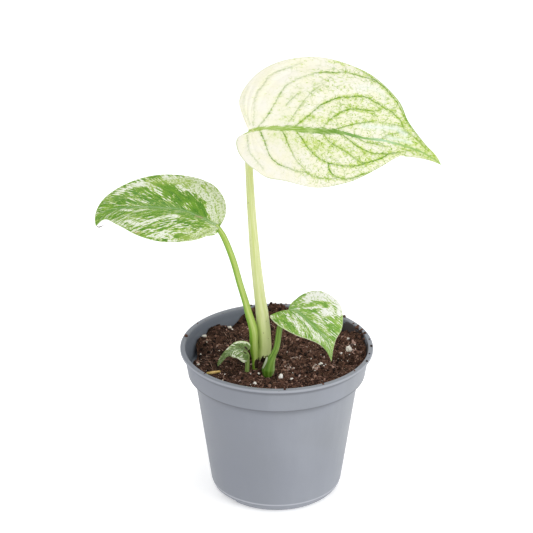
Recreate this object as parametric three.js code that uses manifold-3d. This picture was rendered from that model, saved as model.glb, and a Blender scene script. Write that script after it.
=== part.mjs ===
// A young variegated monstera in a nursery pot: four leaves, their stalks, the short rootstock,
// potting soil and pot. Millimetres, +Z up. The origin is the centre of the pot's underside,
// and the leaves face -Y.
import * as THREE from "three";
import { mergeVertices } from "three/addons/utils/BufferGeometryUtils.js";
import Module from "manifold-3d";

const wasm = await Module();
wasm.setup();

// Clearance between pieces that touch in life
const GAP = 0.3;
const CUT_GAP = 0.36; // where one piece stands in a hole cut to its own form

// Pot: a 12 cm grower's pot
const POT_HEIGHT = 96.8;
const LIP_RADIUS = 60;
const LIP_DEPTH = 2.6;
const LIP_BORE = 57;
const COLLAR_TOP_RADIUS = 57.6;
const COLLAR_FOOT_RADIUS = 55.3;
const COLLAR_FOOT_Z = 79.1;
const BODY_TOP_RADIUS = 51.4;
const BODY_FOOT_RADIUS = 41.2;
const BODY_FOOT_Z = 6.5;
const WALL = 1.2;
const FLOOR_UNDER_Z = 3;
const FLOOR_TOP_Z = 4.4;
const FOOT_RADIUS = 36.6;
const FOOT_WIDTH = 2.2;
const PAD_RADIUS = 6; // flat nub in the middle of the underside
const POT_SIDES = 56;
const NOTCH_ANGLES = [-50.5, 72, 191]; // degrees from the front, towards +X
const NOTCH_WIDTH = 15;
const NOTCH_DEPTH = 8;
const NOTCH_HEIGHT = 3.4;
const DRAIN_COUNT = 6;
const DRAIN_DIAMETER = 3.6;
const DRAIN_RING_RADIUS = 29;
const LIP_UNDER_Z = POT_HEIGHT - LIP_DEPTH;
const LEDGE_TOP_Z = COLLAR_FOOT_Z + WALL; // the step inside, where the collar starts
const INNER_CORNER_Z = BODY_FOOT_Z + 1.5;
const INNER_CORNER_WIDTH = 2.2;

// Soil
const SOIL_LEVEL = 89;
const SOIL_HEAPS = [
  // x, y, height, spread
  [-8, -16, 2.6, 22],
  [-1, 58, 9.6, 11.5],
  [-15, 52.5, 5.6, 8.5],
  [-27.5, 46.5, -5, 5],
  [-40, 37, 1.6, 9],
  [30, 34, 1.2, 18],
  [53, 21, 2.8, 5],
  [51, 25, 1.8, 7],
  [57, 8, 4.6, 15],
  [-56, 8, -9.5, 10],
];
// Where the soil stands clear of the wall: middle and spread in degrees, width
const SOIL_TRENCH = { middle: 176, spread: 15, width: 3.5 };
const SOIL_SECTORS = 44;
const SOIL_RINGS = 13;
const SOIL_LUMPS = [
  // wave numbers per mm in x and y, phase, height
  [0.33, 0.21, 0.4, 0.5],
  [-0.24, 0.37, 1.9, 0.5],
  [0.61, -0.47, 2.6, 0.4],
  [0.52, 0.83, 0.9, 0.3],
];
const CLOD_COUNT = 46;
const CLOD_RADIUS = [0.9, 2.1];
const CLOD_FIELD_RADIUS = 52;
const CLOD_SPACE = { grain: 0.8, straw: 4.5, stalk: 8.5, wall: 1.5 }; // bare soil kept round these
const SOIL_MIDDLE_Z = 44;
const SOIL_EDGE_DROP = 0.6;
const SOIL_EDGE_INSET = 0.5;
const SOIL_EDGE_DEPTH = 0.5; // least depth of soil over the pot's ledge

// Rootstock, below the soil's surface
const CROWN_Z = 86;
const CROWN_CENTRE = [-11.5, -20.5];
const CROWN_RADII = [9.6, 11.4];
const CROWN_SIDES = 18;
const ROOTSTOCK_FOOT_Z = 50;
const ROOTSTOCK_RINGS = [
  // height, share of the crown's radii
  [ROOTSTOCK_FOOT_Z, 0.28],
  [56, 0.5],
  [66, 0.62],
  [78, 0.86],
  [CROWN_Z - 1.4, 1],
  [CROWN_Z, 0.95],
];
const ROOT_COUNT = 5;
const ROOT_RADIUS = [1.7, 0.8];
const ROOT_START = { z: 56, step: 5 };
const ROOT_REACH = 26;
const ROOT_LOWEST_Z = 14;

// Leaves. The midrib is a Bezier curve. faceBase and faceTip are the upper face's directions at
// its ends. Outline points are along the midrib and across it, from the notch at the stalk round
// a lobe to the tip. fold is in degrees, wave is height, count and start, keel height and width.
const BLADE_THICKNESS = 0.8;
const LEAVES = {
  large: {
    midrib: [
      [-17.1, -5.9, 242.7],
      [11.6, -3.9, 252.4],
      [29.9, -7.5, 249.4],
      [50.9, -13.9, 233.1],
      [78.7, -7.3, 239.8],
      [97.7, -10.1, 223.3],
    ],
    faceBase: [0.04, -0.82, 0.57],
    faceTip: [0.04, -0.82, 0.57],
    left: [
      [-0.4, 9.4], [-0.1, 18.8], [4.4, 27.3], [12.9, 35.4], [25, 40.4], [41.7, 42.8],
      [64.8, 39.5], [84.8, 27.9], [94.3, 15.7], [105.9, 6.3], [115.3, 2.3],
    ],
    right: [
      [-5.5, -1.2], [-7.6, -5.5], [-7.1, -13.5], [-2.9, -23.5], [6.9, -32.8], [43.9, -37.3],
      [65, -29.9], [80.6, -17.2], [91.6, -6.9], [100.3, -2.1], [112.2, -1],
    ],
    fold: 9,
    droop: 0.0035,
    veinStart: 0.32,
    veinPower: 3.3,
    veinBow: 0.36,
    veins: 8,
    quilt: 0.55,
    wave: [1.3, 2.6, 0.1],
    keel: [1.5, 1.3],
    columns: 26,
    rows: 9,
  },
  left: {
    midrib: [[-34.9, -9.9, 181.7], [-47.6, 0.4, 190.8], [-102.9, 2.2, 198.5], [-110.4, 3.3, 176.5]],
    faceBase: [-0.05, -0.47, 0.88],
    faceTip: [-0.05, -0.47, 0.88],
    left: [[-2.6, 6.7], [12.9, 19.3], [31.4, 25.9], [48.6, 23], [62.7, 13], [73, 3.1]],
    right: [
      [5.2, -3.9], [7.9, -13.1], [15, -23.1], [25.4, -26.6], [39.4, -24.4], [52.3, -19.8],
      [64, -14.4], [72.6, -9.3],
    ],
    fold: 8,
    droop: 0.004,
    veinStart: 0.3,
    veinPower: 2.6,
    veinBow: 0.3,
    veins: 7,
    quilt: 0.4,
    wave: [0.6, 2.2, 0.3],
    keel: [1.2, 1.0],
    columns: 22,
    rows: 8,
  },
  right: {
    midrib: [[7, -20, 131.4], [20.2, -32, 133.5], [31.6, -37.2, 120.8], [33.1, -35, 103.7]],
    faceBase: [-0.58, -0.53, 0.62],
    faceTip: [0.26, -0.96, -0.1],
    left: [
      [0.8, 4.5], [4.4, 10.1], [8.8, 16], [13.2, 19.4], [17.8, 20.9], [22.2, 20.6],
      [26.8, 16.9], [31.1, 12.1], [34.5, 6.4], [39.9, 2.4],
    ],
    right: [
      [-4, -2.8], [-9.9, -6.8], [-2.9, -10.9], [6, -12.5], [16.7, -11.6], [25.3, -8.4],
      [32.2, -4.6], [38.4, -2],
    ],
    fold: 6,
    droop: 0.004,
    veinStart: 0.3,
    veinPower: 2.2,
    veinBow: 0.26,
    veins: 6,
    quilt: 0.3,
    wave: [0.4, 2.2, 0.0],
    keel: [1.0, 0.8],
    columns: 18,
    rows: 7,
  },
  low: {
    midrib: [[-18.9, -24, 104.7], [-27.8, -24.5, 110.8], [-34.3, -21.8, 97.4], [-35.9, -20, 92.6]],
    faceBase: [-0.1, -0.85, 0.5],
    faceTip: [-0.35, -0.75, 0.55],
    left: [[-2.5, 2.1], [-2.5, 5.7], [0, 6.6], [9.1, 4.6], [12, 2.2], [15.3, 1.1], [20.6, 0.9]],
    right: [
      [-0.8, -3.1], [0.6, -5.5], [3, -5.4], [5.9, -4.5], [10.2, -2.8], [16.8, -1.9], [22.9, -1.5],
    ],
    fold: 4,
    droop: 0.01,
    veinStart: 0.4,
    veinPower: 1.8,
    veinBow: 0.2,
    veins: 4,
    quilt: 0.2,
    wave: [0.2, 2.0, 0.2],
    keel: [0.8, 0.6],
    columns: 14,
    rows: 5,
  },
};

// Leaf stalks: points of the centre line, then the seat on the blade's back (how far along the
// midrib, how deep below the blade's middle), and the radius along the stalk
const STALKS = {
  large: {
    line: [
      [-8.4, -10.6, 86.3], [-8.2, -10.9, 95], [-7.7, -12.2, 104], [-10.2, -11.7, 132.5],
      [-13.5, -9.6, 163.9], [-15.3, -8.2, 187.3], [-16.7, -6, 211.7], [-17.4, -3.2, 232],
      [-16.9, -2.9, 238.6],
    ],
    seat: [3, 1.4],
    radius: [2.8, 2.8, 3.2, 3.4, 3, 2.6, 2.3, 2.2, 2.2, 2.1],
    stations: 26,
  },
  left: {
    line: [
      [-13.2, -19, 86.3], [-13.2, -19, 92], [-13.4, -17.9, 97], [-14, -16.8, 103],
      [-14.4, -16.3, 115.5], [-17.2, -15.6, 126.2], [-19.2, -14.6, 133.9],
      [-22.6, -13.8, 145.7], [-26.8, -12.2, 161.1], [-32.7, -10.4, 176.3],
    ],
    seat: [4, 1.2],
    radius: [1.8, 1.8, 2, 2.7, 2.75, 2.3, 2.05, 1.95, 1.9, 1.8, 1.5],
    stations: 22,
  },
  right: {
    line: [
      [-5.1, -27, 86.3], [-5.2, -27, 90], [-5.2, -26.7, 94], [-3.9, -26, 99.3],
      [-2.1, -25.2, 103.3], [-0.3, -24.3, 107.3], [1.9, -18.6, 119], [4.2, -17.4, 126.3],
    ],
    seat: [1.5, 0.9],
    radius: [2.6, 3.3, 4.2, 3.6, 2.1, 1.8, 1.8, 1.7, 1.2],
    stations: 18,
  },
  low: {
    line: [[-18.6, -24.2, 86.3], [-18.3, -24.3, 91], [-18, -23.2, 98], [-18.1, -22.6, 102]],
    seat: [1.2, 0.8],
    radius: [1.4, 1.4, 1.3, 1.2, 0.9],
    stations: 11,
  },
};
const STALK_SIDES = 12;

// The large stalk's torn sheath, from the top down: height, centre x and y, radius. Its two ends
// close inside the stalk.
const SHEATH = [
  [136, -10.4, -11.6, 3.35],
  [126, -9.2, -12, 3.85],
  [114, -8, -12.2, 4.1],
  [103, -7.4, -12.3, 4.1],
  [95.8, -7.5, -12.5, 4.3],
];
const SHEATH_ENDS = { under: [105, -7.8, -12.2, 2.6], over: [139, -10.8, -11.5, 2.4] };
const SHEATH_THICKNESS = 0.9;
const SHEATH_SIDES = 20;
const SHEATH_TEETH = [1.4, 5, 0.8, 9]; // depth and count of the large tears, then of the small ones

// Grains on the soil: name, x, y, mean radius, flattening, colour key
const GRAINS = [
  ["perlite_01", 45.2, 5.2, 2.1, 0.8, "perlite"],
  ["perlite_02", 2.3, -33, 1.4, 0.8, "perlite"],
  ["perlite_03", 9.1, -32, 1.2, 0.8, "perlite"],
  ["perlite_04", -13.4, -38.2, 1.3, 0.7, "perlite"],
  ["perlite_05", 27.3, -11.2, 1.4, 0.8, "perlite"],
  ["perlite_06", -30, 42.3, 1.3, 0.8, "perlite"],
  ["perlite_07", -45.6, 26.8, 1.2, 0.8, "perlite"],
  ["bark_chip_01", 48.2, 10.2, 1.9, 0.6, "bark"],
  ["bark_chip_02", 41.9, 23.6, 1.5, 0.7, "bark"],
];
const STRAW = { line: [[-43, -26.2], [-39, -25.4], [-34.8, -23.9]], radius: [0.8, 0.95, 0.7] };

const COLOURS = {
  pot: ["#8b9299", 0.55],
  soil: ["#35231b", 0.95],
  rootstock: ["#a08a63", 0.8],
  large: ["#e3e8b4", 0.5],
  left: ["#7aa24c", 0.45],
  right: ["#8fb25c", 0.45],
  low: ["#8ea874", 0.5],
  stalkLarge: ["#c9d98d", 0.5],
  stalk: ["#7ea044", 0.5],
  perlite: ["#e9e6de", 0.9],
  bark: ["#a78a63", 0.9],
  straw: ["#c2a060", 0.8],
};

const DEG = Math.PI / 180;
const vec = (p) => new THREE.Vector3(p[0], p[1], p[2]);
const clamp = (v, low, high) => Math.min(high, Math.max(low, v));

function seeded(seed) {
  let state = seed;
  return () => {
    state = (state * 16807) % 2147483647;
    return state / 2147483647;
  };
}

function solidFrom(geometry) {
  const bare = new THREE.BufferGeometry();
  bare.setAttribute("position", geometry.getAttribute("position"));
  if (geometry.index) bare.setIndex(geometry.index);
  const merged = mergeVertices(bare, 1e-4);
  return new wasm.Manifold(
    new wasm.Mesh({
      numProp: 3,
      vertProperties: new Float32Array(merged.attributes.position.array),
      triVerts: new Uint32Array(merged.index.array),
    }),
  );
}

function geometryFrom(solid) {
  const mesh = solid.getMesh();
  const positions = new Float32Array(mesh.numVert * 3);
  for (let i = 0; i < mesh.numVert; i++) {
    positions.set(mesh.vertProperties.subarray(i * mesh.numProp, i * mesh.numProp + 3), i * 3);
  }
  const geometry = new THREE.BufferGeometry();
  geometry.setAttribute("position", new THREE.BufferAttribute(positions, 3));
  geometry.setIndex(new THREE.BufferAttribute(new Uint32Array(mesh.triVerts), 1));
  return geometry;
}

function largestBody(solid) {
  return solid.decompose().reduce((a, b) => (b.volume() > a.volume() ? b : a));
}

function meshGeometry(points, triangles) {
  const geometry = new THREE.BufferGeometry();
  const positions = new Float32Array(points.flatMap((p) => [p.x, p.y, p.z]));
  geometry.setAttribute("position", new THREE.BufferAttribute(positions, 3));
  geometry.setIndex(triangles.flat());
  return geometry;
}

// A closed loft through rings of equal length, with a point or a flat cap at each end.
function loft(rings, startCentre, endCentre) {
  const points = [startCentre, ...rings.flat(), endCentre];
  const sides = rings[0].length;
  const at = (ring, k) => 1 + ring * sides + (k % sides);
  const triangles = [];
  for (let k = 0; k < sides; k++) {
    triangles.push([0, at(0, k + 1), at(0, k)]);
    triangles.push([points.length - 1, at(rings.length - 1, k), at(rings.length - 1, k + 1)]);
    for (let r = 0; r + 1 < rings.length; r++) {
      triangles.push([at(r, k), at(r, k + 1), at(r + 1, k + 1)]);
      triangles.push([at(r, k), at(r + 1, k + 1), at(r + 1, k)]);
    }
  }
  return meshGeometry(points, triangles);
}

function sampleList(values, t) {
  const place = clamp(t, 0, 1) * (values.length - 1);
  const low = Math.min(Math.floor(place), values.length - 2);
  return values[low] + (values[low + 1] - values[low]) * (place - low);
}

// A round tube along a smooth line, cut level at its start. extra widens and lengthens it, for
// the hole it stands in.
function tube(line, radii, stations, sides, extra) {
  const curve = new THREE.CatmullRomCurve3(line.map(vec), false, "centripetal");
  const rings = [];
  let across = new THREE.Vector3(1, 0, 0);
  for (let i = 0; i < stations; i++) {
    const t = i / (stations - 1);
    const centre = curve.getPoint(t);
    const along = curve.getTangent(t);
    across = across.clone().addScaledVector(along, -across.dot(along)).normalize();
    const other = new THREE.Vector3().crossVectors(along, across);
    const radius = sampleList(radii, t) + extra;
    if (i === 0) centre.z -= extra;
    if (i === stations - 1) centre.addScaledVector(along, extra);
    const ring = [];
    for (let k = 0; k < sides; k++) {
      const a = (2 * Math.PI * k) / sides;
      const p = centre.clone();
      p.addScaledVector(across, radius * Math.cos(a));
      p.addScaledVector(other, radius * Math.sin(a));
      if (i === 0) p.z = line[0][2] - extra;
      ring.push(p);
    }
    rings.push({ ring, centre });
  }
  return loft(rings.map((r) => r.ring), rings[0].centre, rings[stations - 1].centre);
}

function collarInnerRadius(z) {
  const t = (z - COLLAR_FOOT_Z) / (LIP_UNDER_Z - COLLAR_FOOT_Z);
  return COLLAR_FOOT_RADIUS + (COLLAR_TOP_RADIUS - COLLAR_FOOT_RADIUS) * t - WALL;
}

function bodyInnerRadius(z) {
  const t = (z - BODY_FOOT_Z) / (COLLAR_FOOT_Z - BODY_FOOT_Z);
  return BODY_FOOT_RADIUS + (BODY_TOP_RADIUS - BODY_FOOT_RADIUS) * t - WALL;
}

// The pot's section is radius and height, up the outside and down the inside.
function makePot() {
  const profile = [
    [0, 0],
    [PAD_RADIUS, 0],
    [PAD_RADIUS + 0.5, FLOOR_UNDER_Z],
    [FOOT_RADIUS - FOOT_WIDTH - 0.4, FLOOR_UNDER_Z],
    [FOOT_RADIUS - FOOT_WIDTH, 0],
    [FOOT_RADIUS, 0],
    [FOOT_RADIUS + 1.8, 1.4],
    [FOOT_RADIUS + 3.2, 3],
    [BODY_FOOT_RADIUS - 0.5, 4.8],
    [BODY_FOOT_RADIUS, BODY_FOOT_Z],
    [BODY_TOP_RADIUS, COLLAR_FOOT_Z],
    [COLLAR_FOOT_RADIUS - 0.4, COLLAR_FOOT_Z],
    [COLLAR_FOOT_RADIUS, COLLAR_FOOT_Z + 0.5],
    [COLLAR_TOP_RADIUS, LIP_UNDER_Z],
    [LIP_RADIUS - 0.6, LIP_UNDER_Z + 0.3],
    [LIP_RADIUS, LIP_UNDER_Z + 0.9],
    [LIP_RADIUS, POT_HEIGHT - 0.7],
    [LIP_RADIUS - 0.7, POT_HEIGHT],
    [LIP_BORE + 0.6, POT_HEIGHT],
    [LIP_BORE, POT_HEIGHT - 0.6],
    [collarInnerRadius(LIP_UNDER_Z), LIP_UNDER_Z - 0.6],
    [collarInnerRadius(LEDGE_TOP_Z), LEDGE_TOP_Z],
    [bodyInnerRadius(LEDGE_TOP_Z), LEDGE_TOP_Z],
    [bodyInnerRadius(INNER_CORNER_Z), INNER_CORNER_Z],
    [bodyInnerRadius(INNER_CORNER_Z) - INNER_CORNER_WIDTH, FLOOR_TOP_Z],
    [0, FLOOR_TOP_Z],
  ];
  const section = profile.map((p) => new THREE.Vector2(p[0], p[1]));
  const lathe = new THREE.LatheGeometry(section, POT_SIDES);
  lathe.rotateX(Math.PI / 2);
  let pot = solidFrom(lathe);
  for (const angle of NOTCH_ANGLES) {
    const notch = new THREE.BoxGeometry(NOTCH_WIDTH, NOTCH_DEPTH, 2 * NOTCH_HEIGHT);
    notch.translate(0, -FOOT_RADIUS - 1, 0);
    notch.rotateZ(angle * DEG);
    pot = pot.subtract(solidFrom(notch));
  }
  for (let k = 0; k < DRAIN_COUNT; k++) {
    const radius = DRAIN_DIAMETER / 2;
    const drain = new THREE.CylinderGeometry(radius, radius, 2 * DRAIN_DIAMETER, 10);
    drain.rotateX(Math.PI / 2);
    drain.translate(0, -DRAIN_RING_RADIUS, (FLOOR_UNDER_Z + FLOOR_TOP_Z) / 2);
    drain.rotateZ(((k + 0.5) * 2 * Math.PI) / DRAIN_COUNT);
    pot = pot.subtract(solidFrom(drain));
  }
  return pot;
}

function soilHeight(x, y) {
  let z = SOIL_LEVEL;
  for (const [hx, hy, height, spread] of SOIL_HEAPS) {
    z += height * Math.exp(-((x - hx) ** 2 + (y - hy) ** 2) / (spread * spread));
  }
  for (const [kx, ky, phase, height] of SOIL_LUMPS) {
    z += height * Math.sin(kx * x + ky * y + phase);
  }
  return z;
}

// The pot's flats lie nearer the axis than its corners.
function soilRadius(innerRadius) {
  return innerRadius * Math.cos(Math.PI / POT_SIDES) - GAP;
}

function trenchWidth(a) {
  const { middle, spread, width } = SOIL_TRENCH;
  return width * Math.exp(-(((a / DEG - middle) / spread) ** 4));
}

function soilEdgeRadius(a) {
  const r = collarInnerRadius(SOIL_LEVEL);
  const z = soilHeight(r * Math.cos(a), r * Math.sin(a));
  const wall = collarInnerRadius(clamp(z - SOIL_EDGE_DROP, LEDGE_TOP_Z, LIP_UNDER_Z - SOIL_EDGE_DROP));
  return soilRadius(wall) - trenchWidth(a);
}

function makeSoilBody() {
  const rings = [];
  const addRing = (radius, z) => {
    const ring = [];
    for (let k = 0; k < SOIL_SECTORS; k++) {
      const a = (2 * Math.PI * k) / SOIL_SECTORS;
      const r = typeof radius === "function" ? radius(a) : radius;
      const x = r * Math.cos(a);
      const y = r * Math.sin(a);
      ring.push(new THREE.Vector3(x, y, typeof z === "function" ? z(x, y) : z));
    }
    rings.push(ring);
  };
  const cornerRadius = soilRadius(bodyInnerRadius(INNER_CORNER_Z));
  const lowest = LEDGE_TOP_Z + GAP + SOIL_EDGE_DEPTH;
  addRing(cornerRadius - INNER_CORNER_WIDTH - GAP, FLOOR_TOP_Z + GAP);
  addRing(cornerRadius - GAP / 2, INNER_CORNER_Z + GAP);
  addRing(soilRadius(bodyInnerRadius(SOIL_MIDDLE_Z)), SOIL_MIDDLE_Z);
  addRing(soilRadius(bodyInnerRadius(LEDGE_TOP_Z)), LEDGE_TOP_Z + GAP);
  addRing((a) => soilRadius(collarInnerRadius(LEDGE_TOP_Z)) - trenchWidth(a), LEDGE_TOP_Z + GAP);
  addRing(soilEdgeRadius, (x, y) => Math.max(lowest, soilHeight(x, y) - SOIL_EDGE_DROP));
  for (let i = 1; i < SOIL_RINGS; i++) {
    const share = 1 - i / SOIL_RINGS;
    const at = (a) => (soilEdgeRadius(a) - SOIL_EDGE_INSET) * (share + 0.5 / SOIL_RINGS);
    addRing(at, (x, y) => Math.max(lowest + SOIL_EDGE_DROP, soilHeight(x, y)));
  }
  const bottom = new THREE.Vector3(0, 0, FLOOR_TOP_Z + GAP);
  const top = new THREE.Vector3(0, 0, soilHeight(0, 0));
  return solidFrom(loft(rings, bottom, top));
}

function clearOfPlants(x, y, distance) {
  const bases = Object.values(STALKS).map((s) => s.line[1]);
  return bases.every((b) => Math.hypot(x - b[0], y - b[1]) > distance);
}

function addClods(soil) {
  const random = seeded(4107);
  const clods = [];
  while (clods.length < CLOD_COUNT) {
    const angle = 2 * Math.PI * random();
    const reach = CLOD_FIELD_RADIUS * Math.sqrt(random());
    const radius = CLOD_RADIUS[0] + (CLOD_RADIUS[1] - CLOD_RADIUS[0]) * random() ** 2;
    const x = reach * Math.cos(angle);
    const y = reach * Math.sin(angle);
    const turn = [random() * 6, random() * 6, random() * 6];
    const flat = 0.6 + 0.3 * random();
    if (reach + CLOD_SPACE.wall + radius > soilEdgeRadius(angle)) continue;
    const grainFree = GRAINS.every(
      (g) => Math.hypot(x - g[1], y - g[2]) > g[3] + radius + CLOD_SPACE.grain,
    );
    const strawFree = STRAW.line.every((p) => Math.hypot(x - p[0], y - p[1]) > CLOD_SPACE.straw);
    if (!grainFree || !strawFree || !clearOfPlants(x, y, CLOD_SPACE.stalk)) continue;
    const clod = new THREE.IcosahedronGeometry(radius, 0);
    clod.rotateX(turn[0]);
    clod.rotateY(turn[1]);
    clod.rotateZ(turn[2]);
    clod.scale(1.15, 0.95, flat);
    clod.translate(x, y, soilHeight(x, y) - 0.15 * radius);
    clods.push(solidFrom(clod));
  }
  return wasm.Manifold.union([soil, ...clods]);
}

// An oval crown under the stalks, a short stem and a few thick roots.
function makeRootstock(extra) {
  const [cx, cy] = CROWN_CENTRE;
  const rings = ROOTSTOCK_RINGS.map(([height, share]) => {
    const ring = [];
    const ends = { [ROOTSTOCK_FOOT_Z]: -extra, [CROWN_Z]: extra };
    const z = height + (ends[height] ?? 0);
    for (let k = 0; k < CROWN_SIDES; k++) {
      const a = (2 * Math.PI * k) / CROWN_SIDES;
      const x = cx + (CROWN_RADII[0] * share + extra) * Math.cos(a);
      const y = cy + (CROWN_RADII[1] * share + extra) * Math.sin(a);
      ring.push(new THREE.Vector3(x, y, z));
    }
    return ring;
  });
  const foot = new THREE.Vector3(cx, cy, ROOTSTOCK_FOOT_Z - extra);
  const crown = new THREE.Vector3(cx, cy, CROWN_Z + extra);
  const parts = [solidFrom(loft(rings, foot, crown))];
  for (let k = 0; k < ROOT_COUNT; k++) {
    const a = (2 * Math.PI * (k + 0.3)) / ROOT_COUNT;
    const start = ROOT_START.z + ROOT_START.step * k;
    const reach = ROOT_REACH + 4 * Math.sin(2.1 * k);
    const bent = 0.8 * reach;
    const line = [
      [cx + 2 * Math.cos(a), cy + 2 * Math.sin(a), start],
      [cx + 13 * Math.cos(a), cy + 13 * Math.sin(a), start - 5],
      [0.6 * cx + bent * Math.cos(a + 0.4), 0.6 * cy + bent * Math.sin(a + 0.4), start - 20],
      [
        reach * Math.cos(a + 0.9),
        reach * Math.sin(a + 0.9),
        Math.max(ROOT_LOWEST_Z, start - 44),
      ],
    ];
    parts.push(solidFrom(tube(line, ROOT_RADIUS, 9, 7, extra)));
  }
  return wasm.Manifold.union(parts);
}

function bezier(points, t) {
  let row = points.map(vec);
  while (row.length > 1) {
    row = row.slice(1).map((p, i) => p.clone().multiplyScalar(t).addScaledVector(row[i], 1 - t));
  }
  return row[0];
}

function bezierSlope(points, t) {
  const legs = points.slice(1).map((p, i) => p.map((n, k) => (n - points[i][k]) * (points.length - 1)));
  return bezier(legs, t);
}

function bezierLength(p) {
  let length = 0;
  for (let i = 0; i < 200; i++) {
    length += bezier(p, i / 200).distanceTo(bezier(p, (i + 1) / 200));
  }
  return length;
}

// The blade's middle surface at x along the midrib and y across it, before quilting and waves.
function bladeForm(leaf, x, y) {
  const t = x / leaf.length;
  const inside = clamp(t, 0, 1);
  const along = bezierSlope(leaf.midrib, inside);
  const centre = bezier(leaf.midrib, inside);
  if (t < 0) centre.addScaledVector(along, t);
  along.normalize();
  const face = vec(leaf.faceBase).lerp(vec(leaf.faceTip), inside);
  face.addScaledVector(along, -face.dot(along)).normalize();
  const across = new THREE.Vector3().crossVectors(face, along);
  const fold = leaf.fold * DEG;
  centre.addScaledVector(across, y * Math.cos(fold));
  return centre.addScaledVector(face, Math.abs(y) * Math.sin(fold) - leaf.droop * y * y);
}

function bladeNormal(leaf, x, y) {
  const step = 0.4;
  const dx = bladeForm(leaf, x + step, y).sub(bladeForm(leaf, x - step, y));
  const dy = bladeForm(leaf, x, y + step).sub(bladeForm(leaf, x, y - step));
  return dx.cross(dy).normalize();
}

// Evenly spaced points of a half's outline, as a Catmull-Rom line through its points.
function outlineSamples(leaf, points) {
  const knots = [[0, 0], ...points, [leaf.length, 0]];
  const line = [];
  for (let i = 0; i + 1 < knots.length; i++) {
    const b = knots[i];
    const c = knots[i + 1];
    const a = i > 0 ? knots[i - 1] : [2 * b[0] - c[0], 2 * b[1] - c[1]];
    const d = i + 2 < knots.length ? knots[i + 2] : [2 * c[0] - b[0], 2 * c[1] - b[1]];
    for (let k = 0; k < 16; k++) {
      const t = k / 16;
      line.push(
        [0, 1].map(
          (n) =>
            0.5 *
            (2 * b[n] +
              (c[n] - a[n]) * t +
              (2 * a[n] - 5 * b[n] + 4 * c[n] - d[n]) * t * t +
              (3 * b[n] - a[n] - 3 * c[n] + d[n]) * t * t * t),
        ),
      );
    }
  }
  line.push([leaf.length, 0]);
  const reach = [0];
  for (let i = 1; i < line.length; i++) {
    reach.push(reach[i - 1] + Math.hypot(line[i][0] - line[i - 1][0], line[i][1] - line[i - 1][1]));
  }
  return { line, reach };
}

function outlineAt(samples, share) {
  const { line, reach } = samples;
  const goal = share * reach[reach.length - 1];
  let i = 1;
  while (i < reach.length - 1 && reach[i] < goal) i++;
  const t = (goal - reach[i - 1]) / (reach[i] - reach[i - 1]);
  return [0, 1].map((n) => line[i - 1][n] + (line[i][n] - line[i - 1][n]) * t);
}

// How far along the midrib the side vein starts that meets the margin at this share of the outline.
function veinRoot(leaf, u) {
  const grown = Math.max(0, (u - leaf.veinStart) / (1 - leaf.veinStart));
  return leaf.length * (0.04 * u + 0.96 * grown ** leaf.veinPower);
}

// A point of the blade's plan: u picks the side vein, v runs along it from midrib to margin.
function bladePlan(leaf, samples, side, u, v) {
  const root = [veinRoot(leaf, u), 0];
  const end = outlineAt(samples, u);
  const chord = [end[0] - root[0], end[1] - root[1]];
  const bow = leaf.veinBow * clamp((u - 0.04) / 0.4, 0, 1);
  const bend = [
    root[0] + 0.46 * chord[0] - side * bow * chord[1],
    root[1] + 0.46 * chord[1] + side * bow * chord[0],
  ];
  const s = 1 - v;
  return [0, 1].map((n) => s * s * root[n] + 2 * s * v * bend[n] + v * v * end[n]);
}

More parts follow.
